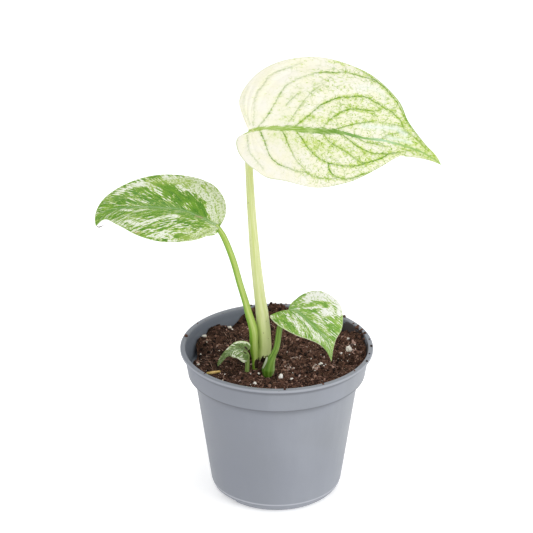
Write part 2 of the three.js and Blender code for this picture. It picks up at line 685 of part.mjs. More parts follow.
// The blade between its upper and lower faces. grow enlarges it evenly, for the clearance to its stalk.
function makeBlade(key, grow) {
  const leaf = LEAVES[key];
  leaf.length = bezierLength(leaf.midrib);
  const { columns, rows } = leaf;
  const halves = [
    { side: 1, samples: outlineSamples(leaf, leaf.left) },
    { side: -1, samples: outlineSamples(leaf, leaf.right) },
  ];
  const points = [];
  const pairAt = (x, y, u, v, side) => {
    const normal = bladeNormal(leaf, x, y);
    const phase = u * leaf.veins;
    const between = Math.abs(Math.sin(Math.PI * phase)); // nought on a side vein, one halfway
    const swell = leaf.quilt * between * Math.sin(Math.PI * Math.min(1, v * 1.05));
    const [height, count, start] = leaf.wave;
    const turn = 2 * Math.PI * (count * u + start + 0.3 * side);
    const wave = height * v ** 3 * Math.sin(turn) * Math.sin(Math.PI * u);
    const middle = bladeForm(leaf, x, y).addScaledVector(normal, swell + wave);
    const ribShare = 1 - clamp(x / leaf.length, 0, 1);
    const ridge = leaf.keel[0] * (0.15 + 0.85 * ribShare) * Math.exp(-((y / leaf.keel[1]) ** 2));
    const half = BLADE_THICKNESS / 2 + grow;
    points.push(middle.clone().addScaledVector(normal, half));
    points.push(middle.clone().addScaledVector(normal, -half - ridge));
    return points.length - 2;
  };
  const notch = pairAt(-1.5 * grow, 0, 0, 0, 1);
  const tip = pairAt(leaf.length + grow, 0, 1, 0, 1);
  const ribIndex = [];
  for (let i = 1; i < columns; i++) {
    ribIndex.push(pairAt(veinRoot(leaf, i / columns), 0, i / columns, 0, 1));
  }
  const triangles = [];
  const face = (a, b, c, side) => {
    triangles.push(side > 0 ? [a, b, c] : [a, c, b]);
    triangles.push(side > 0 ? [a + 1, c + 1, b + 1] : [a + 1, b + 1, c + 1]);
  };
  const rim = (a, b, side) => {
    triangles.push(side > 0 ? [a, a + 1, b + 1] : [a, b + 1, a + 1]);
    triangles.push(side > 0 ? [a, b + 1, b] : [a, b, b + 1]);
  };
  for (const { side, samples } of halves) {
    const grid = [];
    for (let i = 1; i < columns; i++) {
      const column = [ribIndex[i - 1]];
      for (let j = 1; j <= rows; j++) {
        const v = (j / rows) ** 1.35;
        const reach = j === rows ? v + grow / 6 : v;
        const [x, y] = bladePlan(leaf, samples, side, i / columns, reach);
        // widens the side of the lobes that faces the notch
        const backwards = grow * clamp(1.5 - 4 * (i / columns), 0, 1);
        column.push(pairAt(x - backwards, y, i / columns, v, side));
      }
      grid.push(column);
    }
    const last = grid.length - 1;
    for (let j = 0; j < rows; j++) {
      face(notch, grid[0][j], grid[0][j + 1], side);
      face(grid[last][j], tip, grid[last][j + 1], side);
      for (let i = 0; i < last; i++) {
        face(grid[i][j], grid[i + 1][j], grid[i + 1][j + 1], side);
        face(grid[i][j], grid[i + 1][j + 1], grid[i][j + 1], side);
      }
    }
    rim(grid[0][rows], notch, side);
    rim(tip, grid[last][rows], side);
    for (let i = 0; i < last; i++) rim(grid[i + 1][rows], grid[i][rows], side);
  }
  return solidFrom(meshGeometry(points, triangles));
}

function makeSheath() {
  const [deep, few, shallow, many] = SHEATH_TEETH;
  const ringAt = ([z, x, y, radius], torn) => {
    const ring = [];
    for (let k = 0; k < SHEATH_SIDES; k++) {
      const a = (2 * Math.PI * k) / SHEATH_SIDES;
      const tear = deep * Math.sin(few * a + 0.7) + shallow * Math.sin(many * a + 2);
      const height = torn ? z + tear : z;
      ring.push(new THREE.Vector3(x + radius * Math.cos(a), y + radius * Math.sin(a), height));
    }
    return ring;
  };
  const { under, over } = SHEATH_ENDS;
  const hem = SHEATH[SHEATH.length - 1];
  const rings = [
    ringAt(under, false),
    ringAt([hem[0] + 0.4, hem[1], hem[2], hem[3] - SHEATH_THICKNESS], true),
    ...[...SHEATH].reverse().map((ring) => ringAt(ring, ring === hem)),
    ringAt(over, false),
  ];
  const start = new THREE.Vector3(under[1], under[2], under[0] + 1);
  const end = new THREE.Vector3(over[1], over[2], over[0] + 1);
  return solidFrom(loft(rings, start, end));
}

function makeStalk(key, extra) {
  const { line, seat, radius, stations } = STALKS[key];
  const leaf = LEAVES[key];
  const end = bladeForm(leaf, seat[0], 0);
  end.addScaledVector(bladeNormal(leaf, seat[0], 0), -seat[1]);
  return solidFrom(tube([...line, end.toArray()], radius, stations, STALK_SIDES, extra));
}

function makeGrain(grain, scale) {
  const [, x, y, radius, flat] = grain;
  const stone = new THREE.IcosahedronGeometry(radius, 0);
  stone.rotateX(x);
  stone.rotateY(y);
  stone.scale(1.15, 0.9, flat);
  stone.scale(scale, scale, scale);
  stone.translate(x, y, soilHeight(x, y) + 0.1 * radius);
  return solidFrom(stone);
}

function makeStraw(extra) {
  const line = STRAW.line.map(([x, y]) => [x, y, soilHeight(x, y) + 0.5]);
  return solidFrom(tube(line, STRAW.radius, 8, 8, extra));
}

const blades = {};
const stalks = {};
for (const key of Object.keys(LEAVES)) {
  blades[key] = makeBlade(key, 0);
  const bare = makeStalk(key, 0);
  const whole = key === "large" ? bare.add(makeSheath()) : bare;
  stalks[key] = largestBody(whole.subtract(makeBlade(key, CUT_GAP)));
}

const rootstock = makeRootstock(0);
let soil = addClods(makeSoilBody());
soil = soil.subtract(makeRootstock(CUT_GAP));
for (const key of Object.keys(STALKS)) soil = soil.subtract(makeStalk(key, CUT_GAP));
for (const grain of GRAINS) {
  const thickness = grain[3] * grain[4];
  soil = soil.subtract(makeGrain(grain, 1 + (1.3 * CUT_GAP) / thickness));
}
soil = largestBody(soil.subtract(makeStraw(CUT_GAP)));

const plant = new THREE.Group();

function addNode(name, solid, colourKey) {
  const [colour, roughness] = COLOURS[colourKey];
  const material = new THREE.MeshStandardMaterial({ color: colour, roughness, metalness: 0 });
  const mesh = new THREE.Mesh(geometryFrom(solid), material);
  mesh.name = name;
  plant.add(mesh);
}

addNode("pot", makePot(), "pot");
addNode("potting_soil", soil, "soil");
addNode("rootstock", rootstock, "rootstock");
addNode("stalk_large", stalks.large, "stalkLarge");
addNode("stalk_left", stalks.left, "stalk");
addNode("stalk_right", stalks.right, "stalk");
addNode("stalk_low", stalks.low, "stalk");
for (const key of Object.keys(LEAVES)) addNode("blade_" + key, blades[key], key);
for (const grain of GRAINS) addNode(grain[0], makeGrain(grain, 1), grain[5]);
addNode("straw_bit", makeStraw(0), "straw");

export default plant;
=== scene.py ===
import math

import bmesh
import bpy
import numpy as np
from mathutils import Matrix


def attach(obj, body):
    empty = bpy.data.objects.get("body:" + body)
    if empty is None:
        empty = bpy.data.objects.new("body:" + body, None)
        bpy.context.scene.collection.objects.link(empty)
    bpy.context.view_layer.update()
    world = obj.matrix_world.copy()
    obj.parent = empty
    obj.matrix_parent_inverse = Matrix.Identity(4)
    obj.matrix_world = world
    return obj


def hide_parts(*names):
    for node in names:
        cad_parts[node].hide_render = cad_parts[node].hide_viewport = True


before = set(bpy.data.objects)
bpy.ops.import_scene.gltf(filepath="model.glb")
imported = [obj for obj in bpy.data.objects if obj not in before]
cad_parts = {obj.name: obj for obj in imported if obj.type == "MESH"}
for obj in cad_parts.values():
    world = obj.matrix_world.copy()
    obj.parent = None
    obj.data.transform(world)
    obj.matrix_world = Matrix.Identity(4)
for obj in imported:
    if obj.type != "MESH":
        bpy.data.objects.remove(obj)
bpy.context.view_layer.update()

MM = 0.001  # forms are worked out in millimetres, and pieces are in metres
ROOT = "root"

# The photograph's camera: angles in degrees, distance and target in metres, lens in millimetres
CAMERA_ELEVATION = 25.24
CAMERA_ROLL = 0.14
CAMERA_DISTANCE = 1.6
CAMERA_TARGET = (-0.00644, 0.0, 0.15101)
CAMERA_LENS = 176.25


def add_object(name, data):
    item = bpy.data.objects.new(name, data)
    bpy.context.scene.collection.objects.link(item)
    return item


def facing(right, up, back, place):
    """The matrix of a camera or a light at the place, from its three axes."""
    rows = np.column_stack([right, up, back, place]).tolist()
    return Matrix(rows + [[0, 0, 0, 1]])


def make_camera():
    tilt = math.radians(CAMERA_ELEVATION)
    roll = math.radians(CAMERA_ROLL)
    back = np.array([0, -math.cos(tilt), math.sin(tilt)])
    up = np.array([0, math.sin(tilt), math.cos(tilt)])
    right = np.array([1.0, 0, 0])
    data = bpy.data.cameras.new("camera")
    data.lens = CAMERA_LENS
    camera = add_object("camera", data)
    camera.matrix_world = facing(
        math.cos(roll) * right + math.sin(roll) * up,
        math.cos(roll) * up - math.sin(roll) * right,
        back,
        np.array(CAMERA_TARGET) + CAMERA_DISTANCE * back,
    )
    bpy.context.scene.camera = camera


make_camera()


# Material graphs
def colour(code):
    """A hex colour as linear RGBA."""
    parts = [int(code[k:k + 2], 16) / 255 for k in (1, 3, 5)]
    return tuple(p / 12.92 if p <= 0.04045 else ((p + 0.055) / 1.055) ** 2.4 for p in parts) + (1,)


class Graph:
    """A material with one Principled shader and short calls for the nodes that feed it.

    Its tone is the colour so far, which each call of paint covers in part.
    """

    def __init__(self, name, **sockets):
        self.material = bpy.data.materials.new(name)
        self.material.use_nodes = True
        self.tree = self.material.node_tree
        self.tree.nodes.clear()
        values = {key.replace("_", " "): value for key, value in sockets.items()}
        self.shader = self.add("BsdfPrincipled", values)
        self.add("OutputMaterial", {"Surface": self.shader.outputs[0]})

    def add(self, kind, values, **settings):
        """A node with its settings, and the value or link of each input that is given."""
        node = self.tree.nodes.new("ShaderNode" + kind)
        for key, value in settings.items():
            setattr(node, key, value)
        for key, value in dict(values).items():
            self.feed(node.inputs[key], value)
        return node

    def feed(self, socket, value):
        if isinstance(value, bpy.types.NodeSocket):
            self.tree.links.new(value, socket)
        else:
            socket.default_value = value

    def math(self, operation, *values, clamp=False):
        return self.add("Math", enumerate(values), operation=operation, use_clamp=clamp).outputs[0]

    def plus(self, first, *others):
        for other in others:
            first = self.math("ADD", first, other)
        return first

    def times(self, first, *others, clamp=False):
        for other in others:
            first = self.math("MULTIPLY", first, other, clamp=clamp)
        return first

    def sway(self, value, noise, amount):
        """The value, moved up and down by noise that lies round 0.5."""
        return self.plus(value, self.times(self.math("SUBTRACT", noise, 0.5), amount))

    def step(self, value, low, high, start=0.0, end=1.0):
        """start below low, end above high, and a smooth rise between."""
        values = enumerate((value, low, high, start, end))
        return self.add("MapRange", values, interpolation_type="SMOOTHSTEP").outputs[0]

    def mix(self, share, a, b):
        a, b = (colour(c) if isinstance(c, str) else c for c in (a, b))
        return self.add("Mix", {0: share, 6: a, 7: b}, data_type="RGBA").outputs[2]

    def paint(self, share, cover):
        self.tone = self.mix(share, self.tone, cover)

    def attribute(self, name, output="Fac"):
        return self.add("Attribute", {}, attribute_name=name).outputs[output]

    def place(self):
        return self.add("TexCoord", {}).outputs["Object"]

    def scaled(self, vector, x, y, z=1):
        return self.add("Mapping", {"Vector": vector, "Scale": (x, y, z)}).outputs[0]

    def noise(self, vector, scale, detail=3, rough=0.55, bend=0, output="Fac"):
        return self.add("TexNoise", {
            "Vector": vector, "Scale": scale, "Detail": detail, "Roughness": rough, "Distortion": bend,
        }).outputs[output]

    def net(self, vector, scale, amount):
        """The distance to the lines of a net, its places moved about by noise."""
        push = self.noise(vector, scale, 2, 0.5, output="Color")
        moved = self.add("VectorMath", {0: push, 1: (amount, amount, 0), 2: vector}, operation="MULTIPLY_ADD")
        cells = self.add("TexVoronoi", {"Vector": moved.outputs[0], "Scale": 1}, feature="DISTANCE_TO_EDGE")
        return cells.outputs["Distance"]

    def ramp(self, value, stops):
        """A colour along the stops, each a place from 0 to 1 and a hex colour."""
        node = self.add("ValToRGB", {0: value})
        elements = node.color_ramp.elements
        for element, (at, code) in zip(elements, (stops[0], stops[-1])):
            element.position = at
            element.color = colour(code)
        for at, code in stops[1:-1]:
            elements.new(at).color = colour(code)
        return node.outputs[0]

    def split(self, vector):
        return self.add("SeparateXYZ", {0: vector}).outputs

    def bump(self, height, strength, distance):
        node = self.add("Bump", {"Strength": strength, "Distance": distance, "Height": height})
        self.feed(self.shader.inputs["Normal"], node.outputs[0])

    def finish(self, rough=None):
        self.feed(self.shader.inputs["Base Color"], self.tone)
        if rough is not None:
            self.feed(self.shader.inputs["Roughness"], rough)
        return self.material


# Meshes
def make_piece(name, points, faces, material, slot, nodes=(), sharp=None, **attributes):
    """A piece from points in millimetres, with a value or vector at each point per attribute."""
    mesh = bpy.data.meshes.new(name)
    mesh.from_pydata((np.asarray(points) * MM).tolist(), [], [list(map(int, f)) for f in faces])
    mesh.validate()
    for key, values in attributes.items():
        values = np.asarray(values, dtype=np.float32)
        kind, field = ("FLOAT_VECTOR", "vector") if values.ndim == 2 else ("FLOAT", "value")
        mesh.attributes.new(key, kind, "POINT").data.foreach_set(field, values.ravel())
    shade_smooth(mesh, sharp)
    mesh.materials.append(material)
    piece = add_object(name, mesh)
    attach(piece, ROOT)
    if nodes:
        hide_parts(*nodes)
    return piece


def shade_smooth(mesh, sharp):
    """Smooth shading, with hard edges past an angle in degrees unless it is None."""
    mesh.polygons.foreach_set("use_smooth", [True] * len(mesh.polygons))
    if sharp is not None:
        mesh.set_sharp_from_angle(angle=math.radians(sharp))


def unit(v):
    return v / np.linalg.norm(v, axis=-1, keepdims=True)


def leg_lengths(line):
    return np.linalg.norm(np.diff(line, axis=0), axis=1)


def travelled(line):
    """How far along the line each of its points lies."""
    return np.concatenate([[0], np.cumsum(leg_lengths(line))])


def round_angles(sides):
    return 2 * np.pi * np.arange(sides) / sides


def level_ring(angle, radius, z, centre=(0, 0)):
    """Points round the centre at the angles, the radius and the height."""
    x, y = centre
    return np.stack([x + radius * np.cos(angle), y + radius * np.sin(angle), 0 * angle + z], -1)


def ring_faces(rings, sides):
    """Quads between rings that follow each other, with a fan at both ends."""
    k = np.arange(sides)
    after = (k + 1) % sides
    middle = rings * sides  # the two middle points follow the rings
    top = middle - sides
    faces = []
    for low in range(0, top, sides):
        high = low + sides
        faces += np.stack([low + k, low + after, high + after, high + k], 1).tolist()
    faces += np.stack([np.full(sides, middle), after, k], 1).tolist()
    faces += np.stack([np.full(sides, middle + 1), top + k, top + after], 1).tolist()
    return faces


# Leaves: the same forms as the solid blades, on a finer grid, in millimetres. A leaf's plan is flat,
# with x along the midrib and y across it. Each leaf has its midrib's control points, the way it faces
# at its base and tip, and the outline of its left and right half in the plan. Fold and droop
# lift the halves and let them sink, quilt swells them between the veins, and keel is the ridge under
# the midrib. Wave has the height on the left and the right, the count and the start. Streaks has the
# slant and the opening on the left and the right.
LEAVES = {
    "large": dict(
        midrib=[[-17.1, -5.9, 242.7], [11.6, -3.9, 252.4], [29.9, -7.5, 249.4],
                [50.9, -13.9, 233.1], [78.7, -7.3, 239.8], [97.7, -10.1, 223.3]],
        face=[[0.04, -0.82, 0.57], [0.04, -0.82, 0.57]],
        left=[[-0.4, 9.4], [-0.1, 18.8], [4.4, 27.3], [12.9, 35.4], [25, 40.4], [41.7, 42.8],
              [64.8, 39.5], [84.8, 27.9], [94.3, 15.7], [105.9, 6.3], [115.3, 2.3]],
        right=[[-5.5, -1.2], [-7.6, -5.5], [-7.1, -13.5], [-2.9, -23.5], [6.9, -32.8],
               [43.9, -37.3], [65, -29.9], [80.6, -17.2], [91.6, -6.9], [100.3, -2.1],
               [112.2, -1]],
        fold=9, droop=0.0035, vein_start=0.32, vein_power=3.3, bow=0.36, veins=8, quilt=0.55,
        wave=[1.1, 0.35, 2.6, 0.1], keel=[1.5, 1.3], grid=(280, 58), streaks=((0.6, 0.025), (0, 0.045)),
        slot="leaf_cream"),
    "left": dict(
        midrib=[[-34.9, -9.9, 181.7], [-47.6, 0.4, 190.8], [-102.9, 2.2, 198.5],
                [-110.4, 3.3, 176.5]],
        face=[[-0.05, -0.47, 0.88], [-0.05, -0.47, 0.88]],
        left=[[-2.6, 6.7], [12.9, 19.3], [31.4, 25.9], [48.6, 23], [62.7, 13], [73, 3.1]],
        right=[[5.2, -3.9], [7.9, -13.1], [15, -23.1], [25.4, -26.6], [39.4, -24.4],
               [52.3, -19.8], [64, -14.4], [72.6, -9.3]],
        fold=8, droop=0.004, vein_start=0.3, vein_power=2.6, bow=0.3, veins=7, quilt=0.4,
        wave=[0.6, 0.6, 2.2, 0.3], keel=[1.2, 1.0], grid=(220, 46), streaks=((1.0, 0.05), (0.75, 0.02)),
        slot="leaf_mottled"),
    "right": dict(
        midrib=[[7, -20, 131.4], [20.2, -32, 133.5], [31.6, -37.2, 120.8], [33.1, -35, 103.7]],
        face=[[-0.58, -0.53, 0.62], [0.26, -0.96, -0.1]],
        left=[[0.8, 4.5], [4.4, 10.1], [8.8, 16], [13.2, 19.4], [17.8, 20.9], [22.2, 20.6],
              [26.8, 16.9], [31.1, 12.1], [34.5, 6.4], [39.9, 2.4]],
        right=[[-4, -2.8], [-9.9, -6.8], [-2.9, -10.9], [6, -12.5], [16.7, -11.6],
               [25.3, -8.4], [32.2, -4.6], [38.4, -2]],
        fold=6, droop=0.004, vein_start=0.3, vein_power=2.2, bow=0.26, veins=6, quilt=0.3,
        wave=[0.4, 0.4, 2.2, 0.0], keel=[1.0, 0.8], grid=(160, 36), streaks=((1.6, 0.05), (2.5, 0.06)),
        slot="leaf_mottled"),
    "low": dict(
        midrib=[[-18.9, -24, 104.7], [-27.8, -24.5, 110.8], [-34.3, -21.8, 97.4],
                [-35.9, -20, 92.6]],
        face=[[-0.1, -0.85, 0.5], [-0.35, -0.75, 0.55]],
        left=[[-2.5, 2.1], [-2.5, 5.7], [0, 6.6], [9.1, 4.6], [12, 2.2], [15.3, 1.1],
              [20.6, 0.9]],
        right=[[-0.8, -3.1], [0.6, -5.5], [3, -5.4], [5.9, -4.5], [10.2, -2.8], [16.8, -1.9],
               [22.9, -1.5]],
        fold=4, droop=0.01, vein_start=0.4, vein_power=1.8, bow=0.2, veins=4, quilt=0.2,
        wave=[0.2, 0.2, 2.0, 0.2], keel=[0.8, 0.6], grid=(110, 24), streaks=((1.2, 0.05), (1.2, 0.05)),
        slot="leaf_grey_green"),
}
HALF_THICKNESS = 0.4
# The depth of the grooves over the midrib and the side veins, and the side veins' half width
MIDRIB_GROOVE = 0.3
VEIN_GROOVE = 0.16
VEIN_WIDTH = 0.8


def curve(points, t):
    """Points at the shares t of the curve that starts and ends at the first and last control point."""
    points = np.asarray(points, float)
    t = np.asarray(t, float)[..., None]
    n = len(points) - 1
    return sum(math.comb(n, k) * t ** k * (1 - t) ** (n - k) * p for k, p in enumerate(points))


def blade_form(leaf, x, y):
    """The middle surface at x along the midrib and y across it."""
    points = np.asarray(leaf["midrib"], float)
    t = np.asarray(x, float) / leaf["length"]
    inside = np.clip(t, 0, 1)
    slope = curve((points[1:] - points[:-1]) * (len(points) - 1), inside)
    centre = curve(points, inside) + slope * np.minimum(t, 0)[..., None]
    along = unit(slope)
    base, tip = np.asarray(leaf["face"], float)
    face = base + (tip - base) * inside[..., None]
    face = unit(face - along * (face * along).sum(-1, keepdims=True))
    across = np.cross(face, along)
    fold = math.radians(leaf["fold"])
    y = np.asarray(y, float)[..., None]
    lift = abs(y) * math.sin(fold) - leaf["droop"] * y * y
    return centre + across * y * math.cos(fold) + face * lift


def blade_normal(leaf, x, y, step=0.4):
    dx = blade_form(leaf, x + step, y) - blade_form(leaf, x - step, y)
    dy = blade_form(leaf, x, y + step) - blade_form(leaf, x, y - step)
    return unit(np.cross(dx, dy))


def smooth_line(knots, count=16):
    """A smooth line through the knots, with count points to each stretch."""
    knots = np.asarray(knots, float)
    padded = np.vstack([2 * knots[0] - knots[1], knots, 2 * knots[-1] - knots[-2]])
    t = np.arange(count)[:, None] / count
    line = []
    for a, b, c, d in zip(padded, padded[1:], padded[2:], padded[3:]):
        bend = (2 * a - 5 * b + 4 * c - d) * t ** 2
        line.append(0.5 * (2 * b + (c - a) * t + bend + (3 * b - a - 3 * c + d) * t ** 3))
    return np.vstack(line + [knots[-1:]])


def vein_root(leaf, u):
    """How far along the midrib the side vein to share u of the outline starts."""
    grown = np.clip((u - leaf["vein_start"]) / (1 - leaf["vein_start"]), 0, None)
    return leaf["length"] * (0.04 * u + 0.96 * grown ** leaf["vein_power"])


def blade_plan(leaf, side, u, v):
    """The plan point at v along the side vein that meets the margin at share u of the outline."""
    line = leaf["outline"][side]
    reach = travelled(line)
    u, v = np.broadcast_arrays(np.asarray(u, float), np.asarray(v, float))
    root = np.stack([vein_root(leaf, u), 0 * u], -1)
    end = np.stack([np.interp(u * reach[-1], reach, line[:, n]) for n in (0, 1)], -1)
    chord = end - root
    bow = (leaf["bow"] * np.clip((u - 0.04) / 0.4, 0, 1))[..., None]
    bend = root + 0.46 * chord + side * bow * np.stack([-chord[..., 1], chord[..., 0]], -1)
    v = v[..., None]
    return (1 - v) ** 2 * root + 2 * (1 - v) * v * bend + v ** 2 * end


for leaf in LEAVES.values():
    leaf["length"] = leg_lengths(curve(leaf["midrib"], np.linspace(0, 1, 201))).sum()
    leaf["outline"] = {
        side: smooth_line([[0, 0], *leaf[key], [leaf["length"], 0]])
        for side, key in ((1, "left"), (-1, "right"))
    }

# The large leaf's veins in its plan: points along and across the midrib, and strength
LARGE_VEINS = [
    [[2.8, 2.8, 0.4], [4.7, 9, 0.25], [5.8, 14.8, 0.22], [8.1, 21, 0.3], [11.7, 25.5, 0.35],
     [13.5, 29.4, 0.3], [17.2, 32.1, 0.4], [22.6, 34.6, 0.35], [27, 37.5, 0.2]],
    [[1.4, 4, 0.25], [1, 13.3, 0.12], [2.1, 19.8, 0.1], [5, 26, 0.1]],
    [[4.6, 0.7, 0.4], [9.4, 4.8, 0.6], [11.6, 7.4, 0.85], [14.9, 12.5, 0.5], [18, 17.9, 0.65],
     [20.7, 22.8, 0.5], [24.6, 26.2, 0.3], [29.5, 29.7, 0.35], [35.5, 32.9, 0.7],
     [43.7, 34.8, 0.95], [47.9, 36.2, 0.4], [55.2, 36.7, 0.85], [59.6, 36.5, 0.9],
     [65.3, 36.6, 0.8], [70, 34.3, 0.7]],
    [[21, 11.6, 0.4], [24.9, 16.6, 0.45], [28.1, 19.2, 0.4]],
    [[21.4, 0, 0.3], [25.8, 6.6, 0.45], [28.1, 10.7, 0.5], [31.7, 17.2, 0.4], [34.2, 21, 0.5],
     [37.7, 25.2, 0.3], [42.3, 32, 0.15]],
    [[25.6, -2, 0.8], [30.7, 2.9, 0.9], [35.4, 7.9, 0.85], [38.6, 12.2, 0.85], [41.3, 14.8, 0.95],
     [45.3, 17.8, 0.9], [49, 20.2, 1], [56.5, 22.7, 1], [62.6, 24.5, 0.9], [67, 24.4, 0.9],
     [71.1, 22.9, 0.9], [74.1, 22.5, 0.85], [77.4, 20.8, 1], [81.8, 20.1, 0.8], [85.7, 17.9, 0.9],
     [89.6, 15.3, 0.9], [91.6, 12, 0.7], [94.1, 9.6, 0.5]],
    [[43.5, 0, 0.4], [46.5, 5.4, 0.55], [49.5, 9, 0.95], [52.6, 12.1, 0.95], [58.4, 15.5, 0.9],
     [65.3, 16.5, 0.85], [71, 17.2, 0.8], [75, 18.5, 0.6]],
    [[50, 0.3, 0.7], [57.7, 4.6, 0.9], [62.7, 7.2, 0.8], [67.2, 9, 0.8], [71.1, 10.7, 0.8],
     [74.5, 11.4, 0.35], [79.3, 11.9, 0.3], [84.8, 12.1, 0.45], [90.2, 12.4, 0.5]],
    [[79, 1, 0.5], [82.3, 4.4, 0.5], [86.1, 6.2, 0.5], [89.7, 8.4, 0.5], [94.1, 9.6, 0.6],
     [98.5, 8, 0.6], [102.3, 6.1, 0.7], [107, 3.6, 0.6]],
    [[58, 40.4, 0.3], [65.5, 37.9, 0.7], [70.7, 35.4, 1], [76.3, 32.6, 1], [80.5, 29.4, 1],
     [84.5, 26.4, 0.95], [88.5, 21.8, 0.7], [91, 18.2, 0.85], [94.2, 14.8, 0.9], [98.1, 11, 0.6],
     [103.9, 6.8, 0.5], [112.2, 3, 0.5]],
    [[-1.4, -2, 0.4], [-2.5, -10.3, 0.35], [-2, -14.8, 0.3], [-0.1, -20.7, 0.3], [1.5, -24.7, 0.3]],
    [[5.1, 0, 0.6], [5.7, -4.1, 0.9], [6.7, -10.1, 0.85], [7.4, -16.6, 0.7], [9.5, -21.2, 0.9],
     [15, -25.4, 0.9], [22.1, -27.5, 0.5], [31, -29.3, 0.6], [37.8, -29, 0.6], [45.2, -30.6, 0.55],
     [53.6, -30.1, 0.6], [60.6, -27.6, 0.5]],
    [[16.5, -3, 0.5], [19.2, -6.5, 0.9], [21.3, -12.1, 0.85], [24.8, -17.7, 0.6], [27.9, -21.7, 0.45],
     [31.1, -24.2, 0.4], [36.4, -27.1, 0.45]],
    [[25.6, -3, 0.8], [31.4, -9, 0.95], [36.2, -14, 1], [42.7, -17.9, 0.95], [48.7, -20.1, 0.9],
     [52.5, -20.6, 1], [60, -20.2, 0.8], [66.7, -18.6, 0.85], [70.9, -16.9, 0.8],
     [75.6, -13.9, 0.95], [79.8, -11.5, 1], [83.4, -8.9, 1], [86.3, -6, 0.8], [90.9, -4.2, 0.7],
     [97.3, -1.1, 0.6]],
    [[52.2, -20.8, 0.9], [53.4, -23.9, 1], [57.2, -27, 0.9], [64.1, -27.5, 0.7], [70, -24.8, 0.7],
     [72.7, -22.4, 0.85], [78.1, -19.5, 0.6]],
    [[43.1, -2, 0.4], [48.2, -6.7, 0.7], [52.3, -8.6, 0.8], [56.3, -9.8, 0.7], [61.7, -11.6, 0.7],
     [66.9, -13.7, 0.6], [71.2, -15.1, 0.8], [73.8, -14.7, 0.7]],
    [[54, -0.2, 0.7], [59.5, -2.4, 0.8], [63.4, -4.3, 1], [67.3, -6.1, 0.9], [73, -7.5, 0.8],
     [77.8, -7.7, 0.85], [83, -6.5, 0.85], [88.3, -5.6, 0.6], [93.4, -2.9, 0.5], [101.1, 0, 0.4]],
    [[63, -0.3, 0.5], [69.1, -1.7, 0.65], [72, -2.4, 0.6], [78.7, -1.4, 0.65], [83.6, -2, 0.5]],
]
# Where each midrib's coloured band runs in the plan, along and across, and its half width
RIBS = {
    "large": dict(
        line=[[0, 5.6, 11.5, 17.9, 26.3, 35.7, 46.3, 53.9, 60, 70, 80, 90, 100, 112, 120],
              [0.2, -0.2, -1.5, -2.5, -3, -3, -1.7, -0.2, 0.2, 0.2, 1.4, 1.4, 1, 0.3, 0]],
        width=[[0, 8, 25, 45, 54, 62, 75, 90, 118], [0.9, 1.25, 1.75, 1.9, 1.5, 1, 0.75, 0.6, 0.35]]),
    "left": dict(
        line=[[1.7, 8.8, 17.7, 22.9, 29.6, 37.8, 45.1, 50.9, 59.6, 66, 72.8],
              [0.2, 1.2, 0.7, -0.4, -0.8, 0.3, 0.5, 0.9, -0.3, -1.3, -1.9]],
        width=[[0, 20, 50, 76], [0.9, 0.9, 0.65, 0.3]]),
    "right": dict(
        line=[[1.9, 4.5, 10.1, 17, 22.7, 28.2, 33.3, 40], [0.6, 1.5, 0.2, -0.8, -0.4, 0.8, 1.4, 1.1]],
        width=[[0, 12, 30, 42], [0.9, 0.8, 0.6, 0.3]]),
    "low": dict(line=[[0, 24], [0, 0]], width=[[0, 24], [0.6, 0.25]]),
}


def side_veins(leaf, strength):
    """Veins by rule, for the leaves whose own can't be told apart."""
    v = np.linspace(0, 0.97, 9)
    lines = []
    for side in (1, -1):
        for k in range(1, leaf["veins"]):
            line = blade_plan(leaf, side, k / leaf["veins"], v)
            lines.append(np.column_stack([line, strength * (1.2 - v)]))
    return lines


def near_line(points, line):
    """For plan points: how far from the line, on which side, and the line's last value there."""
    leg = np.diff(line, axis=0)
    flat = leg[:, :2]
    offset = points[:, None] - line[None, :-1, :2]
    t = np.clip((offset * flat).sum(-1) / (flat ** 2).sum(-1), 0, 1)
    gap = np.linalg.norm(offset - t[..., None] * flat, axis=-1)
    best = gap.argmin(1)
    row = np.arange(len(points))
    side = np.sign(flat[best, 0] * offset[row, best, 1] - flat[best, 1] * offset[row, best, 0])
    return gap[row, best], side, line[best, -1] + leg[best, -1] * t[row, best]


def near_veins(points, veins):
    """For plan points: the gap to the nearest vein, the same with a sign, and its strength.

    A weak vein counts as further off than it is, so a strong one wins where they meet.
    """
    nearest = np.full(len(points), np.inf)
    gap, signed, force = np.zeros((3, len(points)))
    for knots in veins:
        distance, side, strength = near_line(points, smooth_line(knots, 6))
        weighted = distance + 0.8 * (1 - strength)
        closer = weighted < nearest
        nearest = np.where(closer, weighted, nearest)
        gap = np.where(closer, distance, gap)
        signed = np.where(closer, distance * side, signed)
        force = np.where(closer, strength, force)
    return gap, signed, force


def strokes(points, marks):
    """The sum of soft strokes, each with its amount, its half width and the points it runs through."""
    total = np.zeros(len(points))
    for amount, width, *knots in marks:
        gap = near_line(points, np.array(knots, float))[0]
        total += amount * np.exp(-(gap / width) ** 2)
    return total


